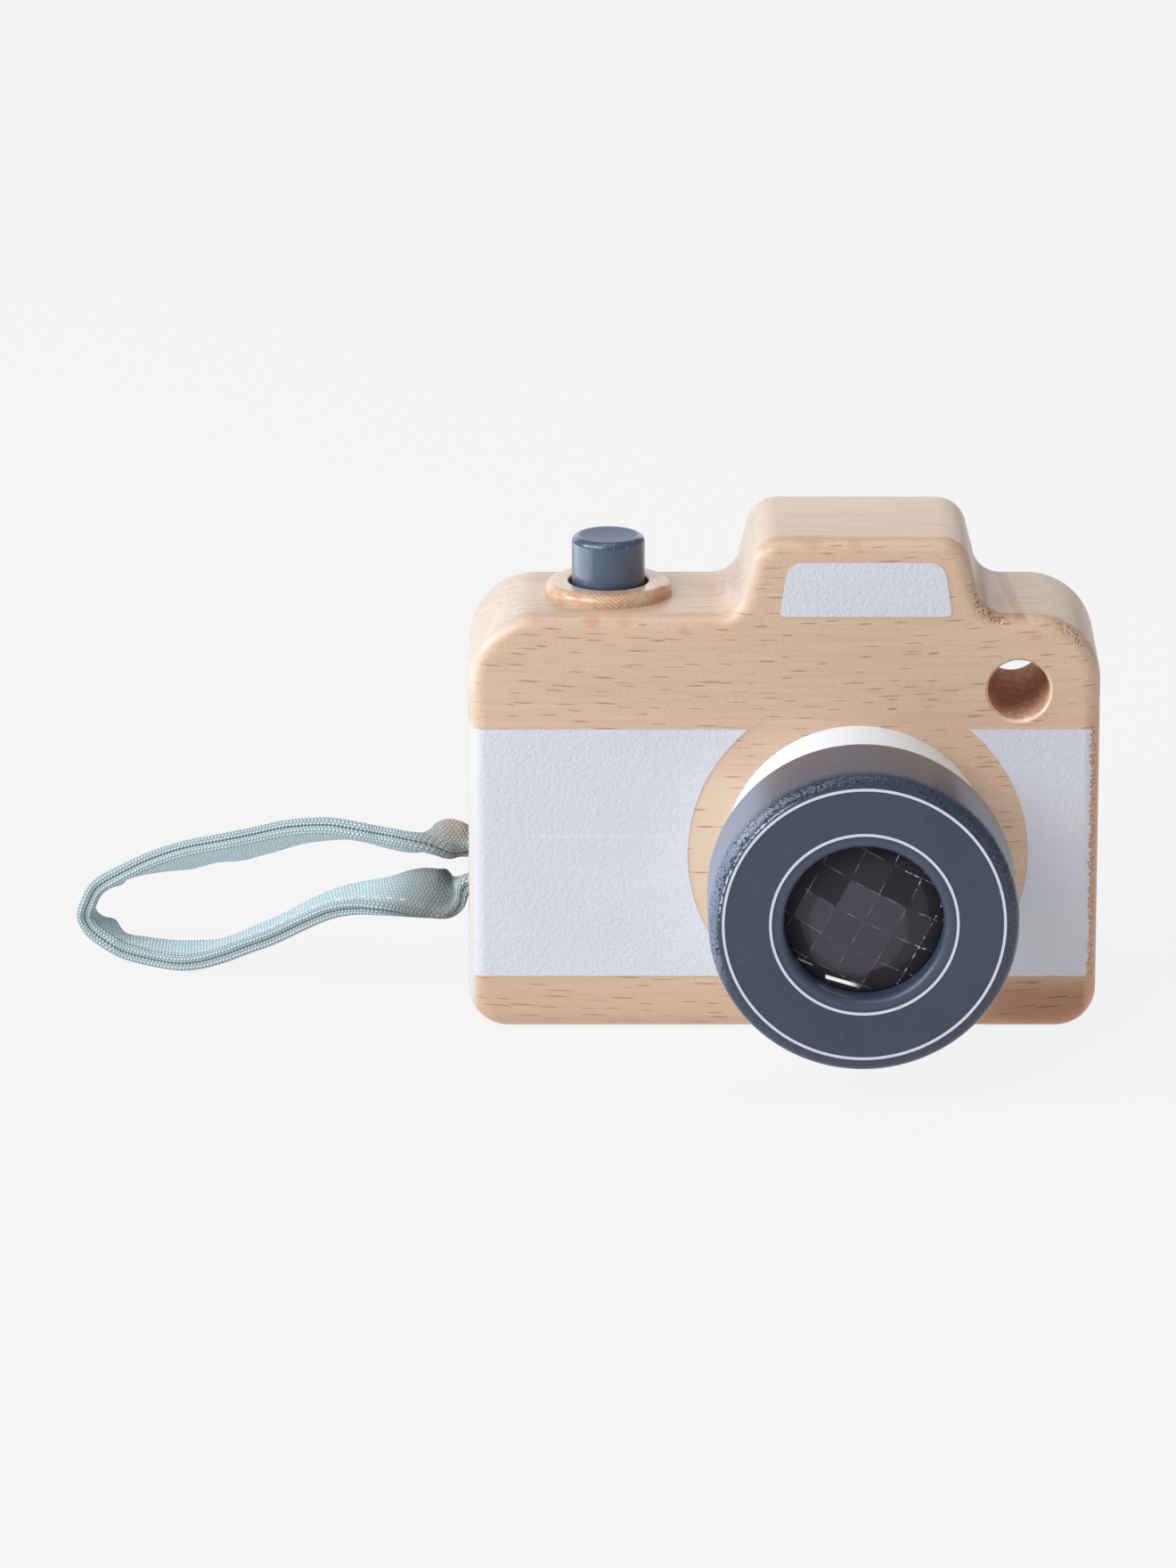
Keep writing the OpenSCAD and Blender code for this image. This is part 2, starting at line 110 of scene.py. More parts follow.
class Board:
    # A material with its node tree
    def __init__(self, name):
        self.material = bpy.data.materials.new(name)
        self.material.use_nodes = True
        self.tree = self.material.node_tree
        self.shader = self.tree.nodes["Principled BSDF"]

    def feed(self, socket, value):
        if isinstance(value, Wire):
            self.tree.links.new(value.socket, socket)
        else:
            socket.default_value = value

    # Adds a node with its settings and inputs, and gives back the outlets asked for
    def node(self, kind, outlets, inputs, **settings):
        made = self.tree.nodes.new("ShaderNode" + kind)
        for key, value in settings.items():
            setattr(made, key, value)
        for key, value in inputs.items():
            self.feed(made.inputs[key], value)
        wires = [Wire(self, made.outputs[outlet]) for outlet in outlets]
        return wires if len(wires) > 1 else wires[0]

    def maths(self, operation, first, second=0.0):
        return self.node("Math", [0], {0: first, 1: second}, operation=operation)

    def floor(self, value):
        return self.maths("FLOOR", value)

    def size(self, value):
        return self.maths("ABSOLUTE", value)

    def sine(self, value):
        return self.maths("SINE", value)

    def larger(self, first, second):
        return self.maths("MAXIMUM", first, second)

    def smaller(self, first, second):
        return self.maths("MINIMUM", first, second)

    # Distance from two offsets at right angles
    def apart(self, first, second):
        return self.maths("SQRT", first * first + second * second)

    # Rises smoothly from 0 at low to 1 at high
    def rise(self, value, low, high):
        inputs = {"Value": value, "From Min": low, "From Max": high}
        return self.node("MapRange", [0], inputs, interpolation_type="SMOOTHSTEP")

    def fall(self, value, low, high):
        return 1.0 - self.rise(value, low, high)

    def blend(self, factor, first, second):
        return self.node("Mix", [2], {0: factor, 6: first, 7: second}, data_type="RGBA")

    def split(self, vector):
        return self.node("SeparateXYZ", [0, 1, 2], {0: vector})

    def join(self, x, y, z):
        return self.node("CombineXYZ", [0], {"X": x, "Y": y, "Z": z})

    # Object coordinates in millimetres
    def place(self):
        made = self.node("TexCoord", ["Object"], {})
        return [axis * (1 / mm) for axis in self.split(made)]

    # Own texture coordinates in millimetres: along the tape, and away from its groove
    def tape(self):
        made = self.node("UVMap", [0], {}, uv_map="tape")
        return self.split(made)[:2]

    def noise(self, place, scale=1.0, detail=2.0, roughness=0.5):
        inputs = {"Vector": self.join(*place), "Scale": scale, "Detail": detail, "Roughness": roughness}
        return self.node("TexNoise", [0], inputs)

    # Noise drawn out along the wood's grain, with its scales along and across it
    def grain(self, place, along, across, detail=2.0, roughness=0.5):
        x, y, z = place
        return self.noise((x * along, y * across, z * across), 1.0, detail, roughness)

    def bump(self, height, distance, strength=1.0):
        inputs = {"Height": height, "Distance": distance, "Strength": strength}
        self.feed(self.shader.inputs["Normal"], self.node("Bump", [0], inputs))

    def finish(self, color, roughness, specular=0.5, coat=0.0, coatRoughness=0.1):
        self.feed(self.shader.inputs["Base Color"], color)
        self.feed(self.shader.inputs["Roughness"], roughness)
        self.feed(self.shader.inputs["Specular IOR Level"], specular)
        self.feed(self.shader.inputs["Coat Weight"], coat)
        self.feed(self.shader.inputs["Coat Roughness"], coatRoughness)
        return self.material


# A colour from its screen values
def tint(red, green, blue):
    def linear(value):
        share = value / 255
        return share / 12.92 if share <= 0.04045 else ((share + 0.055) / 1.055) ** 2.4
    return (linear(red), linear(green), linear(blue), 1.0)


# A mask that is 1 in an area and fades at the ramps that bound it along each axis
def areaMask(board, place, area):
    mask = 1.0
    for axis, value in zip("XYZ", place):
        if "over" + axis in area:
            mask = board.rise(value, *area["over" + axis]) * mask
        if "under" + axis in area:
            mask = board.fall(value, *area["under" + axis]) * mask
    return mask


def paintAreas(board, place, color, areas):
    for area in areas:
        color = board.blend(areaMask(board, place, area) * area["strength"], color, area["tone"])
    return color


# Beech with growth lines along its grain, and the marks of the block or of the turned collar
def makeBeech(name, look):
    board = Board(name)
    place = board.place()
    x, y, z = place
    sway = board.grain(place, 0.03, 0.05) * 2.0
    if look["turned"]:
        peak = board.maths("PINGPONG", x - flames["middle"], flames["half"])
        sway = sway + peak
    lines = board.grain((x, y + sway, z + sway), 0.05, 1.5, 3.0, 0.6)
    pores = board.grain(place, 1.6, 4.0, 2.0, 0.7)
    broad = board.grain(place, 0.012, 0.09)
    color = board.blend(board.rise(lines, 0.3, 0.72), look["pale"], look["deep"])
    color = board.blend(board.rise(broad, 0.35, 0.75) * 0.45, color, look["warm"])
    color = board.blend(board.rise(pores, 0.45, 0.75) * 0.35, color, look["fleck"])
    height = board.grain(place, 0.35, 3.0) * 0.16
    roughness = look["roughness"]
    if look["turned"]:
        color = drawFlames(board, place, peak, color)
    else:
        color = paintAreas(board, place, color, frontAreas)
        dash = drawRays(board, place, broad)
        color = board.blend(dash * rays["strength"], color, look["fleck"])
        # Flecks go darker in the painted shadow of the lens at the low right corner
        color = board.blend(dash * areaMask(board, place, lensShadowCorner) * 0.8, color, rays["shadowedDarkest"])
        height = height - dash * rays["dip"]
        color = drawSides(board, place, color)
        color = drawBand(board, place, color)
    # Broad rays cut through by a rounded edge, and stains
    for spotX, spotY, spotZ, wide, deep, high, strength in look["spots"]:
        away = [(x - spotX) / wide, (y - spotY) / deep, (z - spotZ) / high]
        near = board.fall(away[0] * away[0] + away[1] * away[1] + away[2] * away[2], 0.0, 1.0)
        color = board.blend(near * strength, color, look["stain"])
    if not look["turned"]:
        color, bore, scored = drawFinder(board, place, color)
        roughness = bore * (finderLook["roughness"] - roughness) + roughness
        color, torn = drawTears(board, place, color)
        height = height + bore * scored * finderLook["relief"] - torn * tears["dip"]
    board.bump(height, 0.00022, look["relief"])
    return board.finish(color, roughness, look["specular"], look["coat"])


bodyWood = {
    "turned": False, "pale": tint(217, 189, 165), "deep": tint(210, 179, 153), "warm": tint(209, 177, 150),
    "fleck": tint(172, 124, 100), "stain": tint(204, 152, 112), "relief": 0.5, "roughness": 0.34,
    "specular": 0.5, "coat": 0.0,
    # Middle, half sizes and strength of each stain
    "spots": [
        (-33.4, -14.8, 74.0, 2.0, 1.6, 1.3, 0.7), (-28.0, -14.8, 74.0, 1.8, 1.6, 1.2, 0.5),
        (-17.6, -15.2, 72.8, 1.6, 1.5, 0.8, 0.6), (-13.8, 3.0, 75.3, 2.8, 4.0, 1.0, 0.55),
        (43.6, -15.4, 71.6, 1.8, 1.5, 0.8, 0.6),
        (5.0, -14.6, 88.0, 2.4, 1.6, 1.2, 0.5), (12.0, -14.6, 88.0, 1.8, 1.6, 1.2, 0.5)]}

collarWood = {
    "turned": True, "pale": tint(222, 198, 172), "deep": tint(194, 150, 116), "warm": tint(206, 167, 135),
    "fleck": tint(186, 136, 104), "stain": tint(198, 140, 104), "relief": 0.3, "roughness": 0.36,
    "specular": 0.5, "coat": 0.6,
    "spots": [(-36.2, -9.6, 76.9, 1.3, 1.6, 1.0, 0.6), (-21.4, -5.5, 76.4, 3.4, 4.5, 1.6, 0.9)]}

flames = {
    "middle": -30.7, "half": 1.5, "lean": 0.3, "steep": 0.87, "rate": 8.0, "strength": 0.7,
    "tone": tint(160, 106, 72),
    "area": {"overX": (-33.8, -32.6), "underX": (-27.0, -25.4), "underY": (-9.0, -8.0)}}


# Pointed flames on the collar's front, where the turning cuts across the grain
def drawFlames(board, place, peak, color):
    y, z = place[1:]
    level = z + y * flames["lean"] + peak * flames["steep"]
    shown = board.rise(board.sine(level * flames["rate"]), 0.4, 0.95)
    shown = shown * areaMask(board, place, flames["area"])
    return board.blend(shown * flames["strength"], color, flames["tone"])


# Areas of the block's front whose tone differs, with the ramps that bound them
# Painted shadow of the lens on the low right corner of the front
lensShadowCorner = {
    "overX": (24.0, 42.0), "underY": (-15.0, -12.0), "underZ": (6.0, 12.0), "strength": 0.8,
    "tone": tint(168, 110, 76)}
frontAreas = [
    # Painted light on the bare wood left of the lens, thrown back from the white neck
    {"underX": (-10.0, -4.0), "underY": (-15.0, -12.0), "overZ": (12.0, 20.0), "underZ": (44.0, 54.0),
     "strength": 0.85, "tone": tint(221, 195, 172)},
    # Redder towards the base; the low right corner gets painted shadow of the lens, darker and redder
    {"underZ": (1.0, 14.0), "strength": 0.6, "tone": tint(202, 160, 134)},
    lensShadowCorner]

rays = {
    # Cell of one dash, and how the rows of cells bend, tilt and sway
    "along": 6.2, "through": 34.0, "spacing": 1.6, "bend": 0.0008, "tilt": 0.01, "sway": 2.0,
    # Half sizes of the dashes, as shares of a cell
    "shortest": 0.2, "longer": 0.32, "thinnest": 0.09, "thicker": 0.06, "inward": 0.8,
    "lowLonger": 0.4, "lowEnd": (8.0, 12.0), "faces": (14.4, 15.4), "strength": 0.9, "dip": 0.12,
    # Flecks in the painted shadow of the lens
    "shadowedDarkest": tint(118, 74, 50)}


# Rays show as short dashes on the front and back
def drawRays(board, place, broad):
    x, y, z = place
    level = z - x * x * rays["bend"] - x * rays["tilt"] + broad * rays["sway"]
    cell = [x / rays["along"], y / rays["through"], level / rays["spacing"]]
    inputs = {"Vector": board.join(*cell), "Scale": 1.0}
    middle, chance = [board.split(wire) for wire in board.node("TexVoronoi", ["Position", "Color"], inputs)]
    longer = board.fall(z, *rays["lowEnd"]) * rays["lowLonger"] + 1.0
    offX = (cell[0] - middle[0]) / ((chance[0] * rays["longer"] + rays["shortest"]) * longer)
    offY = (cell[1] - middle[1]) / rays["inward"]
    offZ = board.size(cell[2] - middle[2]) / (chance[2] * rays["thicker"] + rays["thinnest"])
    inside = 1.0 - offX * offX - offY * offY - offZ
    shown = board.rise(chance[1], 0.05, 0.65) * board.rise(board.size(y), *rays["faces"])
    return board.rise(inside, 0.0, 0.7) * shown


sides = {
    # Painted sheen on the top, the sides and the base
    "depth": (12.5, 14.5), "sheenCream": tint(210, 194, 171), "sheenCreamStrength": 0.35,
    "warmRight": {"overX": (50.0, 53.0), "underZ": (60.0, 68.0)},
    # Painted highlights on the roundings of the left shoulder and of the hump's left side
    "pale": tint(217, 201, 186), "highlightStrength": 0.8, "shoulder": (9.6, 11.4), "hump": (0.3, 2.4),
    "shoulderArea": {"underX": (-46.0, -43.0), "overZ": (58.0, 64.0)},
    "humpArea": {"overX": (-10.0, -9.5), "overZ": (75.0, 78.0)},
    # Pale beside the left print, warm beside the right one
    "areas": [
        {"underX": (-54.6, -53.0), "underZ": (60.0, 66.0), "strength": 0.7, "tone": tint(196, 180, 168)},
        {"underX": (-54.6, -53.0), "underZ": (54.0, 57.0), "strength": 0.9, "tone": tint(213, 207, 203)},
        {"overX": (52.4, 53.6), "underZ": (55.0, 60.0), "strength": 0.8, "tone": tint(213, 160, 130)}],
    "lines": tint(178, 134, 104), "linesStrength": 0.5, "fainter": (80.0, 86.0), "faintness": 0.4}


# Painted sheen makes the top, the sides and the base creamier, and painted highlights lie on the left
# roundings; they also have fine growth lines
def drawSides(board, place, color):
    x, y, z = place
    around = board.fall(board.size(y), *sides["depth"])
    # Painted sheen
    sheenCream = around * (1.0 - areaMask(board, place, sides["warmRight"]))
    color = board.blend(sheenCream * sides["sheenCreamStrength"], color, sides["sheenCream"])
    # Painted highlights on the left roundings
    turnX = board.smaller(x + (halfW - shoulderR), 0.0)
    turnZ = board.larger(z - (shoulderH - shoulderR), 0.0)
    shoulder = board.rise(board.apart(turnX, turnZ), *sides["shoulder"])
    shoulder = shoulder * areaMask(board, place, sides["shoulderArea"])
    lean = (humpFoot - humpHalf) / (humpH - shoulderH)
    inward = x - (lensX - humpFoot) - (z - shoulderH) * lean
    hump = board.fall(inward, *sides["hump"]) * areaMask(board, place, sides["humpArea"])
    color = board.blend((shoulder + hump) * sides["highlightStrength"], color, sides["pale"])
    color = paintAreas(board, place, color, sides["areas"])
    fine = board.rise(board.grain(place, 0.05, 1.6, 3.0, 0.7), 0.48, 0.62)
    fine = fine * (1.0 - board.rise(z, *sides["fainter"]) * sides["faintness"])
    return board.blend(fine * around * sides["linesStrength"], color, sides["lines"])


band = {
    "skew": 0.088, "line": 39.5, "lineHalf": (0.3, 1.5), "lineStrength": 0.55, "left": (33.0, 34.5),
    "right": (37.0, 39.8), "strength": 0.45, "above": (73.5, 75.0), "tone": tint(170, 120, 88)}


# A growth band crosses the right shoulder
def drawBand(board, place, color):
    x, y, z = place
    across = x + y * band["skew"]
    line = board.fall(board.size(across - band["line"]), *band["lineHalf"]) * band["lineStrength"]
    broad = board.rise(across, *band["left"]) * board.fall(across, *band["right"]) * band["strength"]
    return board.blend((line + broad) * board.rise(z, *band["above"]), color, band["tone"])


finderLook = {
    "wall": (finderR + 0.02, finderR + 0.1), "wallStrength": 0.85, "roughness": 0.98, "relief": 0.5,
    "wallPale": tint(232, 188, 162), "wallDeep": tint(202, 152, 126),
    # Painted highlight on the bevel at the lower right, where it catches the light
    "bevel": (finderR + 0.45, finderR + 0.65), "bevelSide": (-1.0, 5.0), "bevelHighlightStrength": 0.6,
    "bevelHighlight": tint(238, 216, 194),
    # Middle and half sizes of the fibres that stand up at the low end of its edge
    "fibreX": 1.2, "fibreZ": -5.2, "fibreWide": 1.4, "fibreHigh": 0.8, "fibreStrength": 0.85,
    "fibreFront": (-15.0, -14.0), "fibreTone": tint(250, 230, 206)}


# The viewfinder's bore is rough, darker end grain, its tone raised by painted light
def drawFinder(board, place, color):
    x, y, z = place
    offX = x - finderX
    offZ = z - finderZ
    radius = board.apart(offX, offZ)
    bore = board.fall(radius, *finderLook["wall"])
    scored = board.noise((x, y * 0.5, z), 0.9, 3.0)
    # Wall tones raised by painted light
    rough = board.blend(board.rise(scored, 0.3, 0.7), finderLook["wallPale"], finderLook["wallDeep"])
    color = board.blend(bore * finderLook["wallStrength"], color, rough)
    # Painted highlight on the lower right of the bevel
    lip = board.rise(radius, *finderLook["wall"]) * board.fall(radius, *finderLook["bevel"])
    lip = lip * board.rise(offX - offZ, *finderLook["bevelSide"])
    color = board.blend(lip * finderLook["bevelHighlightStrength"], color, finderLook["bevelHighlight"])
    fibreX = (offX - finderLook["fibreX"]) / finderLook["fibreWide"]
    fibreZ = (offZ - finderLook["fibreZ"]) / finderLook["fibreHigh"]
    fibres = board.fall(fibreX * fibreX + fibreZ * fibreZ, 0.3, 1.0)
    fibres = fibres * board.fall(y, *finderLook["fibreFront"])
    fibres = fibres * board.rise(board.noise(place, 2.6), 0.46, 0.54)
    color = board.blend(fibres * finderLook["fibreStrength"], color, finderLook["fibreTone"])
    return color, bore, scored


tornEdge = {"overY": (-15.5, -15.2), "underY": (-14.4, -13.9), "overZ": (66.0, 69.0)}
tears = {
    "scale": 2.4, "dip": 1.6, "strength": 0.85, "tone": tint(126, 86, 64), "chipStrength": 0.6,
    "chipTone": tint(236, 216, 196),
    # Along the front edge, at the foot of the hump, at the right corner, and beside the right print
    "areas": [
        dict(tornEdge, overX=(31.5, 34.0), strength=0.2),
        dict(tornEdge, overX=(31.5, 33.5), underX=(37.5, 39.5), strength=0.8),
        dict(tornEdge, overX=(46.5, 48.5), underX=(51.0, 52.4), strength=0.8),
        {"overX": (52.8, 53.3), "underX": (54.2, 54.7), "underY": (-13.0, -12.0), "overZ": (9.0, 10.0),
         "underZ": (55.0, 56.0), "strength": 0.6}]}


# Torn grain shows as dark specks and pale chips
def drawTears(board, place, color):
    wear = 0.0
    for area in tears["areas"]:
        wear = areaMask(board, place, area) * area["strength"] + wear
    flaws = board.noise(place, tears["scale"])
    torn = board.rise(flaws, 0.53, 0.6) * wear
    color = board.blend(torn * tears["strength"], color, tears["tone"])
    chips = board.fall(flaws, 0.36, 0.42) * wear
    return board.blend(chips * tears["chipStrength"], color, tears["chipTone"]), torn


panelLook = {
    "base": tint(213, 214, 222), "streak": tint(218, 219, 226), "cloud": tint(208, 209, 219), "mottle": 0.4,
    # A faint scratch on the left panel
    "scratchZ": 35.3, "scratchHalf": (0.05, 0.35), "scratchStart": (-50.0, -38.0),
    "scratchEnd": (-30.0, -18.0), "scratchStrength": 0.35, "scratch": tint(234, 234, 240),
    "roughness": 0.55, "specular": 0.35}


def makePanelPrint():
    board = Board("panelPrint")
    place = board.place()
    x, y, z = place
    streak = board.noise((x * 0.05, y, z * 1.3), 1.0, 3.0)
    cloud = board.noise(place, 0.07)
    shown = board.rise(streak, 0.3, 0.75) * panelLook["mottle"]
    color = board.blend(shown, panelLook["base"], panelLook["streak"])
    color = board.blend(board.rise(cloud, 0.3, 0.7) * panelLook["mottle"], color, panelLook["cloud"])
    line = board.fall(board.size(z - panelLook["scratchZ"] - streak * 0.5), *panelLook["scratchHalf"])
    along = board.rise(x, *panelLook["scratchStart"]) * board.fall(x, *panelLook["scratchEnd"])
    color = board.blend(line * along * panelLook["scratchStrength"], color, panelLook["scratch"])
    board.bump(board.noise(place, 1.6), 0.0002, 0.8)
    return board.finish(color, panelLook["roughness"], panelLook["specular"])


# Slate paint, with the wear and the painted light of the piece that it is on
def makeSlatePaint(name, look, wearAndLightOn):
    board = Board(name)
    place = board.place()
    spread = board.noise(place, 0.12)
    color = board.blend(board.rise(spread, 0.3, 0.7), look["base"], look["other"])
    height = board.noise(place, 3.2) * 0.12
    color, height, roughness, coat = wearAndLightOn(board, place, look, color, height)
    board.bump(height, 0.0003, 0.5)
    return board.finish(color, roughness, look["specular"], coat, look["coatRoughness"])


ringPaint = {
    "base": tint(52, 61, 79), "other": tint(56, 65, 83), "specular": 0.5, "coatRoughness": 0.25, "coat": 0.3,
    "roughness": 0.36, "wornRoughness": 0.2, "sideRoughness": 0.04,
    # Where the rim is worn: its radius, its depth, and how far towards the upper left and the upper right
    "rim": (24.3, 24.9), "rimFront": (-54.4, -53.2), "wornLeft": (7.0, 18.0), "wornRight": (13.0, 21.0),
    "pits": (0.58, 0.63), "pitTone": tint(10, 11, 14), "pitDip": 2.6, "wornDip": 1.6,
    # Painted sheen lightens the rounding at the left, with painted glints along a ragged bright line where
    # the rounding starts
    "rubbed": (24.8, 25.4), "rubbedLeft": (18.5, 24.0), "rubbedTone": tint(122, 135, 158),
    "line": (24.8, 24.95), "lineEnd": (25.1, 25.25), "lineLeft": (20.5, 24.0),
    "lineTone": tint(214, 220, 230), "side": (26.1, 26.55), "sideTone": tint(64, 77, 102),
    "inner": (14.9, 15.4), "innerTone": tint(74, 90, 116), "dust": (0.72, 0.77),
    "dustTone": tint(120, 128, 140)}


def wearAndLightOnRing(board, place, look, color, height):
    x, y, z = place
    offX = x - lensX
    offZ = z - lensZ
    radius = board.apart(offX, offZ)
    left = board.rise(offZ * 0.55 - offX * 0.83, *look["wornLeft"])
    right = board.rise(offZ * 0.6 + offX * 0.8, *look["wornRight"])
    rim = board.rise(radius, *look["rim"]) * board.fall(y, *look["rimFront"])
    worn = rim * board.larger(left, right)
    pits = board.rise(board.noise(place, 2.1, 2.0, 0.6), *look["pits"]) * worn
    # Painted sheen on the rounding at the left
    rubbed = board.rise(radius, *look["rubbed"])
    rubbed = rubbed * board.rise(offZ * 0.26 - offX * 0.97, *look["rubbedLeft"])
    color = board.blend(rubbed * 0.85, color, look["rubbedTone"])
    # Painted glints along a ragged line where the rounding starts
    wobble = radius + board.noise(place, 1.6) * 0.5
    line = board.rise(wobble, *look["line"]) * board.fall(wobble, *look["lineEnd"])
    line = line * board.rise(offZ * 0.5 - offX * 0.87, *look["lineLeft"])
    glints = board.rise(board.noise(place, 1.1), 0.4, 0.5) * line
    color = board.blend(glints * 0.8, color, look["lineTone"])
    color = board.blend(pits * 0.95, color, look["pitTone"])
    height = height - pits * look["pitDip"] - board.noise(place, 1.3) * worn * look["wornDip"]
    # Painted sheen lightens the ring's side
    side = board.rise(radius, *look["side"])
    color = board.blend((1.0 - rubbed) * side * 0.6, color, look["sideTone"])
    # Painted light on the wall of the opening
    color = board.blend(board.fall(radius, *look["inner"]) * 0.3, color, look["innerTone"])
    dust = board.rise(board.noise(place, 2.3, 1.0), *look["dust"])
    color = board.blend(dust * 0.4, color, look["dustTone"])
    smoother = worn * (look["roughness"] - look["wornRoughness"]) + side * look["sideRoughness"]
    return color, height, look["roughness"] - smoother, side * look["coat"]


buttonPaint = {
    "base": tint(58, 74, 101), "other": tint(63, 79, 105), "specular": 0.5, "coatRoughness": 0.14,
    "coat": 0.6, "roughness": 0.34, "dulled": 0.15,
    # The pressed end is dulled by use and painted lighter, partly as scuffs and partly as painted reflection;
    # its edge has nicks, partly painted glints
    "end": (4.9, 5.4), "endAbove": (84.0, 84.4), "endTone": tint(98, 112, 136),
    "nicks": (0.57, 0.63), "edge": (5.0, 5.3), "edgeAbove": (84.2, 84.9), "nickTone": tint(150, 164, 184)}


def wearAndLightOnButton(board, place, look, color, height):
    x, y, z = place
    radius = board.apart(x - buttonX, y)
    # Lighter end: partly scuffs, partly painted reflection
    end = board.fall(radius, *look["end"]) * board.rise(z, *look["endAbove"])
    color = board.blend(end * 0.8, color, look["endTone"])
    # Light specks on the edge: partly nicks, partly painted glints
    nicks = board.rise(board.noise(place, 1.7, 3.0), *look["nicks"])
    nicks = nicks * board.rise(radius, *look["edge"]) * board.rise(z, *look["edgeAbove"])
    color = board.blend(nicks * 0.4, color, look["nickTone"])
    roughness = end * look["dulled"] + look["roughness"]
    return color, height, roughness, (1.0 - end) * look["coat"]


# A finish of one colour, with slight changes of tone and gloss
def makeFinish(name, look):
    board = Board(name)
    place = board.place()
    cloud = board.noise(place, look["scale"], 3.0)
    color = board.blend(board.rise(cloud, 0.3, 0.7), look["base"], look["other"])
    board.feed(board.shader.inputs["Metallic"], look["metallic"])
    board.bump(board.noise(place, look["scale"] * 8.0), 0.0002, look["relief"])
    return board.finish(color, cloud * 0.12 + look["roughness"], look["specular"])


whitePaint = {
    "base": tint(240, 246, 253), "other": tint(236, 242, 250), "scale": 0.2, "relief": 0.15,
    "roughness": 0.34, "specular": 0.5, "metallic": 0.0}

stitchThread = {
    "base": tint(226, 230, 230), "other": tint(210, 217, 218), "scale": 1.5, "relief": 0.3,
    "roughness": 0.74, "specular": 0.2, "metallic": 0.0}

linePrint = {
    "base": tint(213, 218, 231), "other": tint(206, 211, 225), "scale": 0.6, "relief": 0.1,
    "roughness": 0.44, "specular": 0.3, "metallic": 0.0}

springSteel = {
    "base": tint(190, 190, 192), "other": tint(170, 170, 174), "scale": 1.0, "relief": 0.1,
    "roughness": 0.24, "specular": 0.5, "metallic": 1.0}

lensLook = {
    # Painted shade on the facets, and painted light of the tunnel's lit end
    "pitch": 5.4, "turn": -28.0, "facetShade": tint(49, 47, 54), "facetShadeLighter": tint(60, 58, 65), "clear": tint(70, 68, 79),
    # Painted light from the lit end of the tunnel, shifted a little by each facet
    "tunnelX": -0.9, "tunnelZ": -1.3, "tunnelShift": 0.5, "tunnel": (9.0, 9.4),
    # Painted highlights on the facet edges, with painted sparkle at the right
    "edge": (0.03, 0.12), "edgeHighlight": tint(196, 195, 200), "glitterFrom": (9.0, 12.0),
    "glitterRight": (3.0, 9.0),
    # Painted glints that glow on the low girdle: how low and how steep each lies, half its width, and its two
    # ends
    "bar": {"low": 12.55, "steep": 0.3, "half": (0.25, 0.5), "start": (-6.6, -6.2), "end": (-2.6, -0.2)},
    "tick": {"low": 12.0, "steep": 0.4, "half": (0.08, 0.2), "start": (-11.2, -10.9), "end": (-8.9, -8.4)},
    "caughtFront": (-49.5, -48.5), "glintGlowTone": tint(240, 240, 240), "unlit": tint(0, 0, 0),
    # Painted view of the tunnel's warm floor beside it, seen through the glass
    "warmX": 3.4, "warmZ": -10.4, "warmWide": 2.9, "warmHigh": 1.6, "seenWoodTone": tint(70, 54, 44),
    "roughness": 0.1, "specular": 0.22}


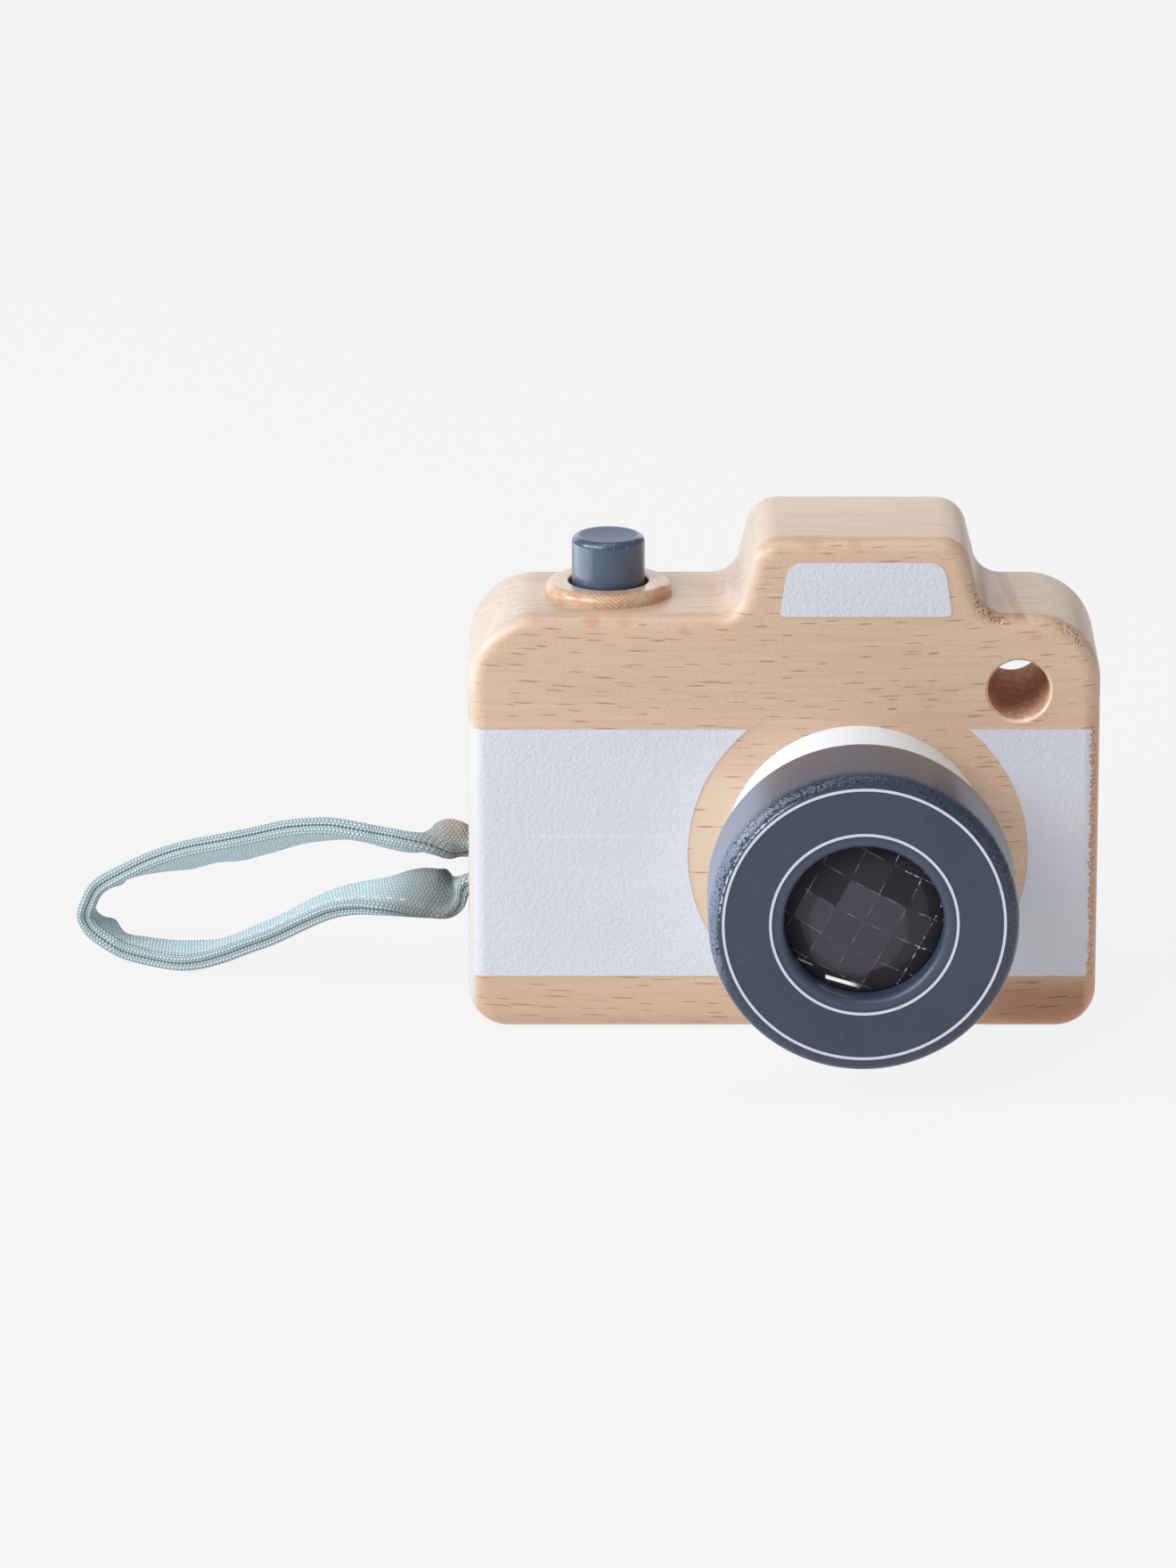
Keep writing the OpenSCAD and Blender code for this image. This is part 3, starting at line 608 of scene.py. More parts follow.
# Painted shade on dark facets, with painted light from the lit tunnel through those at the middle
def makeLensGlass():
    board = Board("lensAcrylic")
    x, y, z = board.place()
    offX = x - lensX
    offZ = z - lensZ
    cosine = math.cos(math.radians(-lensLook["turn"]))
    sine = math.sin(math.radians(-lensLook["turn"]))
    across = (offX * cosine - offZ * sine) / lensLook["pitch"]
    upwards = (offX * sine + offZ * cosine) / lensLook["pitch"]
    column = board.floor(across)
    row = board.floor(upwards)
    chance = board.node("TexWhiteNoise", [0], {"Vector": board.join(column, row, 0.5)})
    # Painted shade on the facets
    color = board.blend(chance, lensLook["facetShade"], lensLook["facetShadeLighter"])
    shiftX = offX - lensLook["tunnelX"] + (column + 0.5) * lensLook["tunnelShift"]
    shiftZ = offZ - lensLook["tunnelZ"] + (row + 0.5) * lensLook["tunnelShift"]
    # It shows in the rows under the middle, and in the first row over it apart from that row's left end
    shown = board.larger(board.fall(row, -0.8, -0.2), board.rise(column, -1.8, -1.2))
    # Painted light from the tunnel's lit end
    clear = board.fall(board.apart(shiftX, shiftZ), *lensLook["tunnel"]) * board.fall(row, 0.2, 0.8) * shown
    color = board.blend(clear * (0.75 + chance * 0.25), color, lensLook["clear"])
    # Painted highlights on thin edges between the facets, with painted sparkle towards the right
    nearAcross = board.size(across - board.floor(across + 0.5)) * lensLook["pitch"]
    nearUp = board.size(upwards - board.floor(upwards + 0.5)) * lensLook["pitch"]
    line = board.fall(board.smaller(nearAcross, nearUp), *lensLook["edge"])
    patchy = board.rise(board.noise((x, 0.0, z), 0.42), 0.42, 0.72) * 0.4
    glitter = board.rise(board.noise((x, 0.0, z), 1.1), 0.5, 0.6)
    sparkle = board.rise(board.apart(offX, offZ), *lensLook["glitterFrom"])
    sparkle = sparkle * board.rise(offX, *lensLook["glitterRight"]) * glitter
    color = board.blend(line * board.larger(patchy, sparkle), color, lensLook["edgeHighlight"])
    # Painted glints, made to glow
    bar = drawGlint(board, offX, offZ, lensLook["bar"])
    tick = drawGlint(board, offX, offZ, lensLook["tick"])
    caught = board.larger(bar, board.larger(tick * 0.2, line * sparkle * 0.4))
    caught = caught * board.fall(y, *lensLook["caughtFront"])
    glow = board.blend(caught, lensLook["unlit"], lensLook["glintGlowTone"])
    board.feed(board.shader.inputs["Emission Color"], glow)
    board.feed(board.shader.inputs["Emission Strength"], 1.0)
    # Painted view of the tunnel's warm wood floor through the glass
    warmX = (offX - lensLook["warmX"]) / lensLook["warmWide"]
    warmZ = (offZ - lensLook["warmZ"]) / lensLook["warmHigh"]
    warm = board.fall(warmX * warmX + warmZ * warmZ, 0.2, 1.0)
    color = board.blend(warm * 0.5, color, lensLook["seenWoodTone"])
    return board.finish(color, lensLook["roughness"], lensLook["specular"])


def drawGlint(board, offX, offZ, glint):
    slant = offZ + glint["low"] + offX * glint["steep"]
    length = board.rise(offX, *glint["start"]) * board.fall(offX, *glint["end"])
    return board.fall(board.size(slant), *glint["half"]) * length


canvasLook = {
    "pitch": 0.68, "hollow": tint(160, 194, 206), "thread": tint(238, 253, 255), "face": tint(203, 226, 233),
    # The near edge is coarser than the faces
    "nearEdge": (1.8, 3.2), "coarser": 0.55, "faceCoarse": 0.45, "cloud": tint(210, 234, 241),
    # X runs along the tape, and Y away from its groove, which gets painted shade
    "areas": [
        {"underY": (0.1, 0.5), "strength": 0.6, "tone": tint(118, 154, 168)},
        # Greyer near the block, with painted shade in the lower leg's fold
        {"underX": (19.0, 27.0), "strength": 0.6, "tone": tint(141, 149, 149)},
        {"overX": (157.0, 170.0), "underX": (173.0, 176.0), "strength": 1.0, "tone": tint(141, 149, 149)},
        {"overX": (168.0, 174.0), "underX": (174.6, 175.4), "overY": (2.0, 4.0), "strength": 0.65,
         "tone": tint(66, 92, 102)}],
    # Browned where both legs lie against the wood, most on the upper leg's far half
    "upper": (14.0, 22.0), "farHalf": (2.5, 5.5), "lower": (168.0, 177.0), "brown": tint(172, 140, 102),
    "roughness": 0.85, "specular": 0.2, "sheen": 0.25, "relief": 0.0006}


def makeCanvas():
    board = Board("strapCanvas")
    u, v = board.tape()
    row = board.floor(v / canvasLook["pitch"])
    shift = (row - board.floor(row / 2.0) * 2.0) * 0.5
    over = board.size(board.sine((u / canvasLook["pitch"] + shift) * math.pi))
    weave = over * board.size(board.sine(v / canvasLook["pitch"] * math.pi))
    broad = board.noise((u * 0.08, v * 0.25, 0.0))
    coarse = board.fall(v, *canvasLook["nearEdge"]) * canvasLook["coarser"] + canvasLook["faceCoarse"]
    color = board.blend(board.rise(weave, 0.05, 0.6), canvasLook["hollow"], canvasLook["thread"])
    color = board.blend(coarse, canvasLook["face"], color)
    color = board.blend(board.rise(broad, 0.35, 0.75) * 0.3, color, canvasLook["cloud"])
    # Painted shade in the groove and in the lower leg's fold; greyer near the block
    color = paintAreas(board, (u, v), color, canvasLook["areas"])
    brown = board.fall(u, *canvasLook["upper"]) * (board.rise(v, *canvasLook["farHalf"]) * 0.45 + 0.15)
    brown = brown + board.rise(u, *canvasLook["lower"]) * 0.1
    color = board.blend(brown, color, canvasLook["brown"])
    board.bump(weave * coarse, canvasLook["relief"])
    board.feed(board.shader.inputs["Sheen Weight"], canvasLook["sheen"])
    return board.finish(color, canvasLook["roughness"], canvasLook["specular"])


# Makes a piece of a mesh, with edges sharp past an angle, sets it on the body it rides on, and hides the
# parts it stands for
def addPiece(name, shape, material, sharp, body, stands):
    mesh = bpy.data.meshes.new(name)
    bmesh.ops.recalc_face_normals(shape, faces=shape.faces)
    for face in shape.faces:
        face.smooth = True
    for edge in shape.edges:
        edge.smooth = len(edge.link_faces) == 2 and edge.calc_face_angle(0.0) < math.radians(sharp)
    shape.to_mesh(mesh)
    shape.free()
    mesh.materials.append(material)
    piece = bpy.data.objects.new(name, mesh)
    scene.collection.objects.link(piece)
    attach(piece, body)
    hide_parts(*stands)
    return piece


# Points on an arc from one angle to another, in degrees
def arc(middle, radius, start, stop, steps):
    points = []
    for step in range(steps + 1):
        angle = math.radians(start + (stop - start) * step / steps)
        points.append((middle[0] + radius * math.cos(angle), middle[1] + radius * math.sin(angle)))
    return points


# A quarter round, or part of one, inside the corner of a section
def rounded(corner, radius, start, steps, sweep=90):
    turn = math.radians(start + 45)
    across = corner[0] - math.copysign(radius, math.cos(turn))
    up = corner[1] - math.copysign(radius, math.sin(turn))
    return arc((across, up), radius, start, start + sweep, steps)


# Turns an angle in degrees back between half a turn each way
def halfTurn(angle):
    return (angle + 180) % 360 - 180


# An outline set in by an inset, with rounded corners and points along its straight runs
def roundedOutline(corners, radii, inset, steps=18, spacing=3.0):
    runs = []
    count = len(corners)
    for index in range(count):
        corner = Vector(corners[index])
        before = corner - Vector(corners[index - 1])
        after = Vector(corners[(index + 1) % count]) - corner
        start = math.degrees(math.atan2(before.y, before.x)) - 90
        swing = halfTurn(math.degrees(math.atan2(after.y, after.x)) - 90 - start)
        sideIn = Vector((math.cos(math.radians(start)), math.sin(math.radians(start))))
        sideOut = Vector((math.cos(math.radians(start + swing)), math.sin(math.radians(start + swing))))
        radius = radii[index] if swing > 0 else -radii[index]
        middle = corner - (sideIn + sideOut) * (radius / (1 + sideIn.dot(sideOut)))
        runs.append(arc(middle, radius - inset, start, start + swing, steps))
    outline = []
    for index in range(count):
        outline += runs[index]
        first = Vector(runs[index][-1])
        last = Vector(runs[(index + 1) % count][0])
        pieces = max(1, int((last - first).length / spacing))
        for piece in range(1, pieces):
            outline.append(tuple(first.lerp(last, piece / pieces)))
    return outline


# Joins rings of vertices by quads, closed round each ring
def skin(shape, rings):
    for first, second in zip(rings, rings[1:]):
        count = len(first)
        for index in range(count):
            after = (index + 1) % count
            shape.faces.new((first[index], first[after], second[after], second[index]))


def capEnds(shape, rings):
    shape.faces.new(list(reversed(rings[0])))
    shape.faces.new(rings[-1])


# Spins a closed section of radius and height round an axis
def turned(shape, section, toWorld, segments=160):
    corners = [shape.verts.new(toWorld(radius, 0.0, height)) for radius, height in section]
    edges = [shape.edges.new(pair) for pair in zip(corners, corners[1:] + corners[:1])]
    middle = toWorld(0.0, 0.0, 0.0)
    axis = (toWorld(0.0, 0.0, 1.0) - middle).normalized()
    bmesh.ops.spin(shape, geom=corners + edges, cent=middle, axis=axis, dvec=(0, 0, 0), angle=2 * math.pi,
                   steps=segments, use_merge=True)
    bmesh.ops.remove_doubles(shape, verts=shape.verts, dist=1e-7)
    # Sections that touch the axis leave faces with no area there
    bmesh.ops.dissolve_degenerate(shape, edges=shape.edges, dist=1e-8)


def onLensAxis(a, b, height):
    return Vector((lensX + a, frontY - height, lensZ + b)) * mm


def onButtonAxis(a, b, height):
    return Vector((buttonX + a, b, shoulderH + height)) * mm


def onStrapAxis(a, b, height):
    return Vector((-halfW - height, a, strapZ + b)) * mm


def onFinderAxis(a, b, height):
    return Vector((finderX + a, -height, finderZ + b)) * mm


strap = {
    "width": 9.0, "half": 1.25, "lobe": 0.78, "lobeApart": 0.92, "across": Vector((0.4, 0.92, 0.0)),
    "steps": 16, "bundle": 18.8, "bundleSpan": 2.2, "bundleRise": 0.7, "pinch": 13.4, "pinchSpan": 2.4,
    "pinchShare": 0.3, "waver": 0.6, "waverRate": 0.13, "seam": -2.1, "seamDip": 0.16, "seamSpan": 0.35,
    # Steps round the far edge, across a face and round to the groove
    "farSteps": 10, "faceSteps": 14, "lobeSteps": 8,
    # Place, depth and half length of the folds where the far edge curls in
    "curls": [(88.0, 1.9, 2.4), (100.0, 1.9, 2.2), (60.0, 0.6, 4.0), (71.0, 0.7, 4.0), (118.0, 0.6, 4.0)],
    # The tape's middle and its tilt in degrees, from the upper tail to the lower one
    "route": [
        (-42, 0, 29.6, 0), (-51.5, 0, 29.6, 0), (-53.4, 0, 29.7, -4), (-55.5, 0, 30, -32),
        (-57.5, 0, 30.3, -32), (-60, 0, 30.2, -14), (-63, 0.5, 29.4, 16), (-66.5, 2, 28.9, 28),
        (-70.5, 4, 29, 28), (-74.5, 5.5, 29.5, 26), (-79, 7.5, 29.5, 26), (-85.5, 10.5, 28, 28),
        (-92, 13.5, 25.5, 30), (-98, 16, 23.5, 30), (-104, 19, 21.5, 28), (-110, 22, 19, 22),
        (-115.5, 24.5, 16.5, 10), (-120.7, 27, 13.9, -6), (-123.3, 28, 10.8, -18), (-124.3, 28.5, 7.6, -22),
        (-122.8, 28, 4.6, -20), (-119, 26.5, 2.5, -14), (-115, 25, 1.7, -4), (-107, 21, 1.6, 2),
        (-102.5, 19, 2.5, 4), (-98, 17, 4.5, 6), (-93.5, 15, 7, 8), (-89, 13, 9.5, 10),
        (-83, 10, 13.5, 12), (-78.5, 8, 16, 12), (-74, 6, 17.5, 14), (-70, 4, 18.5, 24),
        (-66, 2.5, 19.4, 44), (-62.5, 1, 19.9, 62), (-60, 0.3, 19.9, 68), (-57.6, 0, 20.4, 40),
        (-55.5, 0, 21.9, 6), (-53.4, 0, 22.4, 0), (-51.5, 0, 22.4, 0), (-42, 0, 22.4, 0)]}


# A hump of height 1 round a place
def bell(value, middle, span):
    return math.exp(-((value - middle) / span) ** 2)


# The tape's places: middle, direction across, direction up and distance along
def strapPlaces():
    route = [Vector(stop) for stop in strap["route"]]
    stops = []
    for index in range(len(route) - 1):
        a = route[max(index - 1, 0)]
        b = route[index]
        c = route[index + 1]
        d = route[min(index + 2, len(route) - 1)]
        for step in range(strap["steps"]):
            t = step / strap["steps"]
            stops.append(0.5 * (2 * b + (c - a) * t + (2 * a - 5 * b + 4 * c - d) * t * t
                                + (3 * b - a - 3 * c + d) * t * t * t))
    stops.append(route[-1])
    places = []
    run = 0.0
    for index, stop in enumerate(stops):
        here = stop.xyz
        along = (stops[min(index + 1, len(stops) - 1)].xyz - stops[max(index - 1, 0)].xyz).normalized()
        level = (strap["across"] - along * along.dot(strap["across"])).normalized()
        inward = along.cross(level)
        tilt = math.radians(stop.w)
        across = math.cos(tilt) * level + math.sin(tilt) * inward
        if index:
            run += (here - stops[index - 1].xyz).length
        places.append((here, across, across.cross(along), run))
    return places


# Section of the folded tape: a round far edge, and two layers with a groove between them at the near edge
def tapeSection(run, length):
    # The tape is bunched where the upper leg comes out of the block
    swell = 1 + strap["bundleRise"] * bell(run, strap["bundle"], strap["bundleSpan"])
    half = strap["half"] * swell
    lobe = strap["lobe"] * (1 + (swell - 1) * 0.5)
    wave = strap["waver"] * noise.noise(Vector((run * strap["waverRate"], 3.7, 0.0)))
    # Both legs are drawn together where they enter the hole
    pinched = strap["pinchShare"] * bell(min(run, length - run), strap["pinch"], strap["pinchSpan"])
    width = strap["width"] * (1 - pinched)
    far = width / 2 - half + wave
    near = -width / 2 + lobe
    steps = strap["faceSteps"]
    flat = [far - (far - near) * step / steps for step in range(1, steps)]
    # A sewn line draws both faces in
    face = [(a, half - strap["seamDip"] * bell(a, strap["seam"], strap["seamSpan"])) for a in flat]
    section = arc((far, 0.0), half, -90, 90, strap["farSteps"])
    section += face
    section += arc((near, lobe * strap["lobeApart"]), lobe, 90, 245, strap["lobeSteps"])
    section += arc((near, -lobe * strap["lobeApart"]), lobe, 115, 270, strap["lobeSteps"])
    section += [(a, -b) for a, b in reversed(face)]
    curl = sum(rise * bell(run, place, span) for place, rise, span in strap["curls"])
    return [(a, b - curl * max(0.0, a / width + 0.5) ** 2) for a, b in section]


def makeStrap(canvas, thread):
    places = strapPlaces()
    shape = bmesh.new()
    layer = shape.loops.layers.uv.new("tape")
    groove = strap["farSteps"] + strap["faceSteps"] + strap["lobeSteps"]
    rings = []
    around = []
    for here, across, up, run in places:
        section = tapeSection(run, places[-1][3])
        rings.append([shape.verts.new((here + across * a + up * b) * mm) for a, b in section])
        lengths = [0.0]
        for first, second in zip(section, section[1:] + section[:1]):
            lengths.append(lengths[-1] + math.dist(first, second))
        away = [abs(length - lengths[groove]) for length in lengths]
        around.append([min(length, lengths[-1] - length) for length in away])
    for index in range(len(rings) - 1):
        count = len(rings[index])
        for side in range(count):
            after = (side + 1) % count
            face = shape.faces.new((rings[index][side], rings[index][after],
                                    rings[index + 1][after], rings[index + 1][side]))
            spots = [(index, side), (index, side + 1), (index + 1, side + 1), (index + 1, side)]
            for loop, (ring, point) in zip(face.loops, spots):
                loop[layer].uv = (places[ring][3], around[ring][point])
    capEnds(shape, rings)
    piece = addPiece("wristStrap", shape, canvas, 70, "camera", ["wrist_strap"])
    stitches = makeStitches(places, thread)
    path = [tuple(place[0] * mm) for place in places]
    places[-1][3] * mm


stitch = {
    "first": 132.0, "lastBefore": 24.0, "length": 1.7, "step": 2.5, "sides": 6,
    # Share of a stitch's length, height over the seam and radius of the thread
    "rings": [(0.0, -0.1, 0.08), (0.25, 0.03, 0.12), (0.75, 0.03, 0.12), (1.0, -0.1, 0.08)]}


# Short lengths of thread along the sewn line, on both faces
def makeStitches(places, thread):
    shape = bmesh.new()
    run = stitch["first"]
    while run < places[-1][3] - stitch["lastBefore"]:
        for face in (1, -1):
            rings = []
            for share, lift, radius in stitch["rings"]:
                target = run + stitch["length"] * share
                here, across, up = min(places, key=lambda place: abs(place[3] - target))[:3]
                height = strap["half"] - strap["seamDip"] + lift
                middle = here + across * strap["seam"] + up * face * height
                ring = []
                for side in range(stitch["sides"]):
                    angle = 2 * math.pi * side / stitch["sides"]
                    spot = middle + across * radius * math.cos(angle) + up * radius * math.sin(angle)
                    ring.append(shape.verts.new(spot * mm))
                rings.append(ring)
            skin(shape, rings)
            capEnds(shape, rings)
        run += stitch["step"]
    return addPiece("strapStitches", shape, thread, 80, "camera", [])


block = {
    "edgeSteps": 9, "support": 0.4,
    "corners": [
        (-halfW, 0.0), (halfW, 0.0), (halfW, shoulderH), (lensX + humpFoot, shoulderH),
        (lensX + humpHalf, humpH), (lensX - humpHalf, humpH), (lensX - humpFoot, shoulderH),
        (-halfW, shoulderH)],
    "radii": [7.0, 7.0, shoulderR, 5.0, 5.5, 5.5, 5.0, shoulderR]}


def makeBody(wood):
    shape = bmesh.new()
    stations = [(edgeR + block["support"], frontY)]
    for step in range(block["edgeSteps"] + 1):
        angle = math.radians(90 * step / block["edgeSteps"])
        stations.append((edgeR * (1 - math.sin(angle)), frontY + edgeR * (1 - math.cos(angle))))
    stations += [(inset, -place) for inset, place in reversed(stations)]
    rings = []
    for inset, place in stations:
        outline = roundedOutline(block["corners"], block["radii"], inset)
        rings.append([shape.verts.new(Vector((a, place, b)) * mm) for a, b in outline])
    skin(shape, rings)
    capEnds(shape, rings)
    solid = addBlank("blank", shape)
    cutter = makeHoles()
    cut = solid.modifiers.new("holes", "BOOLEAN")
    cut.operation = "DIFFERENCE"
    cut.solver = "EXACT"
    cut.object = cutter
    graph = bpy.context.evaluated_depsgraph_get()
    carved = bmesh.new()
    carved.from_object(solid, graph)
    bpy.data.objects.remove(solid)
    bpy.data.objects.remove(cutter)
    addPiece("body", carved, wood, 28, "camera", ["body"])


# A mesh that is only used to cut, or to be cut
def addBlank(name, shape):
    bmesh.ops.recalc_face_normals(shape, faces=shape.faces)
    mesh = bpy.data.meshes.new(name)
    shape.to_mesh(mesh)
    shape.free()
    blank = bpy.data.objects.new(name, mesh)
    scene.collection.objects.link(blank)
    return blank


holes = {
    # How far the cutters go past the wood
    "past": 1.0, "lensPocket": 20.0, "lensPocketDeep": 6.5, "tunnel": 10.0, "tunnelBevel": 0.8,
    "finderBevel": 0.4, "finderBackBevel": 0.1, "button": 9.4, "buttonDeep": 15.95,
    "strap": 6.7, "strapBevel": 1.2, "strapDeep": 16.0}


# Every hole in the block, as one mesh to cut away
def makeHoles():
    shape = bmesh.new()
    past = holes["past"]
    tunnel = holes["tunnel"]
    bevel = holes["tunnelBevel"]
    section = [(0.0, past), (holes["lensPocket"], past), (holes["lensPocket"], -holes["lensPocketDeep"])]
    section += [(tunnel, -holes["lensPocketDeep"]), (tunnel, bevel - depth)]
    section += [(tunnel + bevel + past, -depth - past), (0.0, -depth - past)]
    turned(shape, section, onLensAxis, 96)
    end = depth / 2
    bevel = holes["finderBevel"]
    section = [(0.0, end + past), (finderR + bevel + past, end + past), (finderR, end - bevel)]
    bevel = holes["finderBackBevel"]
    section += [(finderR, bevel - end), (finderR + bevel + past, -end - past), (0.0, -end - past)]
    turned(shape, section, onFinderAxis, 96)
    section = [(0.0, past), (holes["button"], past), (holes["button"], -holes["buttonDeep"])]
    turned(shape, section + [(0.0, -holes["buttonDeep"])], onButtonAxis, 96)
    bevel = holes["strapBevel"]
    section = [(0.0, past), (holes["strap"] + bevel + past, past), (holes["strap"], -bevel)]
    section += [(holes["strap"], -holes["strapDeep"]), (0.0, -holes["strapDeep"])]
    turned(shape, section, onStrapAxis, 72)
    return addBlank("holes", shape)


panels = {
    "low": 9.85, "high": 54.95, "bare": 29.7, "film": 0.12, "rows": 300, "roundSteps": 8, "flatSteps": 4,
    "frayRate": 2.4}


# One printed panel: rows from its outer edge, round the block's edge, to the bare ring of wood
def makePanel(name, node, side, wrap, ragged, printed):
    shape = bmesh.new()
    flat = halfW - edgeR
    faces = []
    for level in (edgeR + panels["film"], edgeR):
        rows = []
        for index in range(panels["rows"] + 1):
            z = panels["low"] + (panels["high"] - panels["low"]) * index / panels["rows"]
            reach = panels["bare"] ** 2 - (z - lensZ) ** 2
            inner = side * lensX + math.sqrt(max(reach, 0.0))
            last = wrap + ragged * noise.noise(Vector((z * panels["frayRate"], side * 5.0, 0.3)))
            row = []
            for step in range(panels["roundSteps"] + 1):
                angle = math.radians(last * (1 - step / panels["roundSteps"]))
                row.append((flat + level * math.sin(angle), frontY + edgeR - level * math.cos(angle)))
            for step in range(1, panels["flatSteps"] + 1):
                row.append((flat + (inner - flat) * step / panels["flatSteps"], frontY + edgeR - level))
            rows.append([shape.verts.new(Vector((side * a, b, z)) * mm) for a, b in row])
        faces.append(rows)
    front, back = faces
    for rows in faces:
        for first, second in zip(rows, rows[1:]):
            joinRows(shape, first, second)
    # Both long edges, then the low and the high one
    for edge in (0, -1):
        joinRows(shape, [row[edge] for row in front], [row[edge] for row in back])
    for row in (0, -1):
        joinRows(shape, front[row], back[row])
    addPiece(name, shape, printed, 40, "camera", [node])


# Joins two open rows of vertices by quads
def joinRows(shape, first, second):
    for index in range(len(first) - 1):
        shape.faces.new((first[index], first[index + 1], second[index + 1], second[index]))


# The window's corners, from the lens axis and the shoulder
window = {
    "left": 13.9, "right": 16.1, "height": 9.7, "taper": 1.5, "radii": [0.8, 0.8, 3.0, 3.0], "steps": 10}


def makeWindow(printed):
    shape = bmesh.new()
    left = lensX - window["left"]
    right = lensX + window["right"]
    top = shoulderH + window["height"]
    corners = [(left, shoulderH), (right, shoulderH)]
    corners += [(right - window["taper"], top), (left + window["taper"], top)]
    outline = roundedOutline(corners, window["radii"], 0.0, window["steps"])
    rings = []
    for place in (frontY - panels["film"], frontY):
        rings.append([shape.verts.new(Vector((a, place, b)) * mm) for a, b in outline])
    skin(shape, rings)
    capEnds(shape, rings)
    addPiece("flashWindow", shape, printed, 40, "camera", ["flash_window"])


# Heights are from the shoulder's top
button = {
    "stem": 3.2, "foot": -8.95, "flange": 8.6, "flangeLow": -5.15, "flangeHigh": -2.65, "radius": 6.4,
    "top": 10.5, "rounding": 1.3, "support": 0.4, "dish": 0.3, "dishRadius": 5.0, "dishSteps": 8}
collar = {
    "bore": 7.0, "spigot": 9.35, "foot": -2.5, "radius": 11.15, "top": 2.3, "rounding": 1.6, "lip": 0.35}


def makeButton(paint, wood):
    shape = bmesh.new()
    high = button["top"] - button["rounding"] - button["support"]
    section = [
        (0.0, button["foot"]), (button["stem"], button["foot"]), (button["stem"], button["flangeLow"]),
        (button["flange"], button["flangeLow"]), (button["flange"], button["flangeHigh"]),
        (button["radius"], button["flangeHigh"]), (button["radius"], high)]
    section += rounded((button["radius"], button["top"]), button["rounding"], 0, 10, 86)
    # The end is a shallow dish, part of a ball
    rim = button["radius"] - button["rounding"]
    ball = (rim ** 2 + button["dish"] ** 2) / (2 * button["dish"])
    for step in range(button["dishSteps"] + 1):
        radius = button["dishRadius"] * (1 - step / button["dishSteps"])
        section.append((radius, button["top"] - button["dish"] + ball - math.sqrt(ball ** 2 - radius ** 2)))
    turned(shape, section, onButtonAxis)
    addPiece("shutterButton", shape, paint, 35, "button", ["shutter_button"])
    shape = bmesh.new()
    section = [(collar["bore"], collar["foot"]), (collar["spigot"], collar["foot"]), (collar["spigot"], 0.0),
               (collar["radius"], 0.0)]
    section += rounded((collar["radius"], collar["top"]), collar["rounding"], 0, 12)
    section += rounded((collar["bore"], collar["top"]), collar["lip"], 90, 5)
    turned(shape, section, onButtonAxis)
    addPiece("buttonCollar", shape, wood, 35, "camera", ["button_collar"])


spring = {
    "turns": 5.5, "turnSteps": 32, "coil": 4.6, "wire": 0.4, "wireSteps": 11, "seat": -15.95, "low": -15.5,
    "rise": 9.9, "keep": 0.53}


# The wire spring under the button
def makeSpring(steel):
    shape = bmesh.new()
    steps = int(spring["turns"] * spring["turnSteps"])
    rings = []
    for step in range(steps + 1):
        angle = 2 * math.pi * step / spring["turnSteps"]
        middle = (spring["coil"], spring["low"] + spring["rise"] * step / steps)
        ring = []
        for radius, height in arc(middle, spring["wire"], 0, 330, spring["wireSteps"]):
            spot = onButtonAxis(radius * math.cos(angle), radius * math.sin(angle), height)
            ring.append(shape.verts.new(spot))
        rings.append(ring)
    skin(shape, rings)
    capEnds(shape, rings)
    piece = addPiece("buttonSpring", shape, steel, 60, "camera", ["button_spring"])
    seat = onButtonAxis(0.0, 0.0, spring["seat"])
    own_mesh(piece)


# Heights are from the block's front
neck = {"bore": 15.5, "spigot": 19.95, "foot": -2.0, "radius": 23.3, "top": 21.2, "rounding": 0.4}
barrel = {
    "bore": 15.45, "opening": 13.65, "radius": 26.6, "back": 21.5, "front": 40.4, "seat": 34.4,
    "backRounding": 0.5, "rounding": 2.2, "lipRounding": 1.2}


def makeLensBarrel(white, paint):
    shape = bmesh.new()
    section = [(neck["bore"], neck["foot"]), (neck["spigot"], neck["foot"]), (neck["spigot"], 0.0),
               (neck["radius"], 0.0)]
    section += rounded((neck["radius"], neck["top"]), neck["rounding"], 0, 4)
    turned(shape, section + [(neck["bore"], neck["top"])], onLensAxis)
    addPiece("neckRing", shape, white, 35, "camera", ["neck_ring"])
    shape = bmesh.new()
    section = [(barrel["bore"], barrel["back"])]
    section += rounded((barrel["radius"], barrel["back"]), barrel["backRounding"], -90, 5)
    section += rounded((barrel["radius"], barrel["front"]), barrel["rounding"], 0, 14)
    section += rounded((barrel["opening"], barrel["front"]), barrel["lipRounding"], 90, 10)
    section += [(barrel["opening"], barrel["seat"]), (barrel["bore"], barrel["seat"])]
    turned(shape, section, onLensAxis)
    addPiece("lensRing", shape, paint, 35, "lens", ["lens_ring"])


lens = {
    "crown": 13.45, "rim": 15.35, "back": 32.0, "front": 34.4, "top": 38.6, "stock": 1.0, "ball": 32.0,
    "rows": 3}


def addDrum(shape, radius, low, high):
    turned(shape, [(0.0, low), (radius, low), (radius, high), (0.0, high)], onLensAxis, 120)


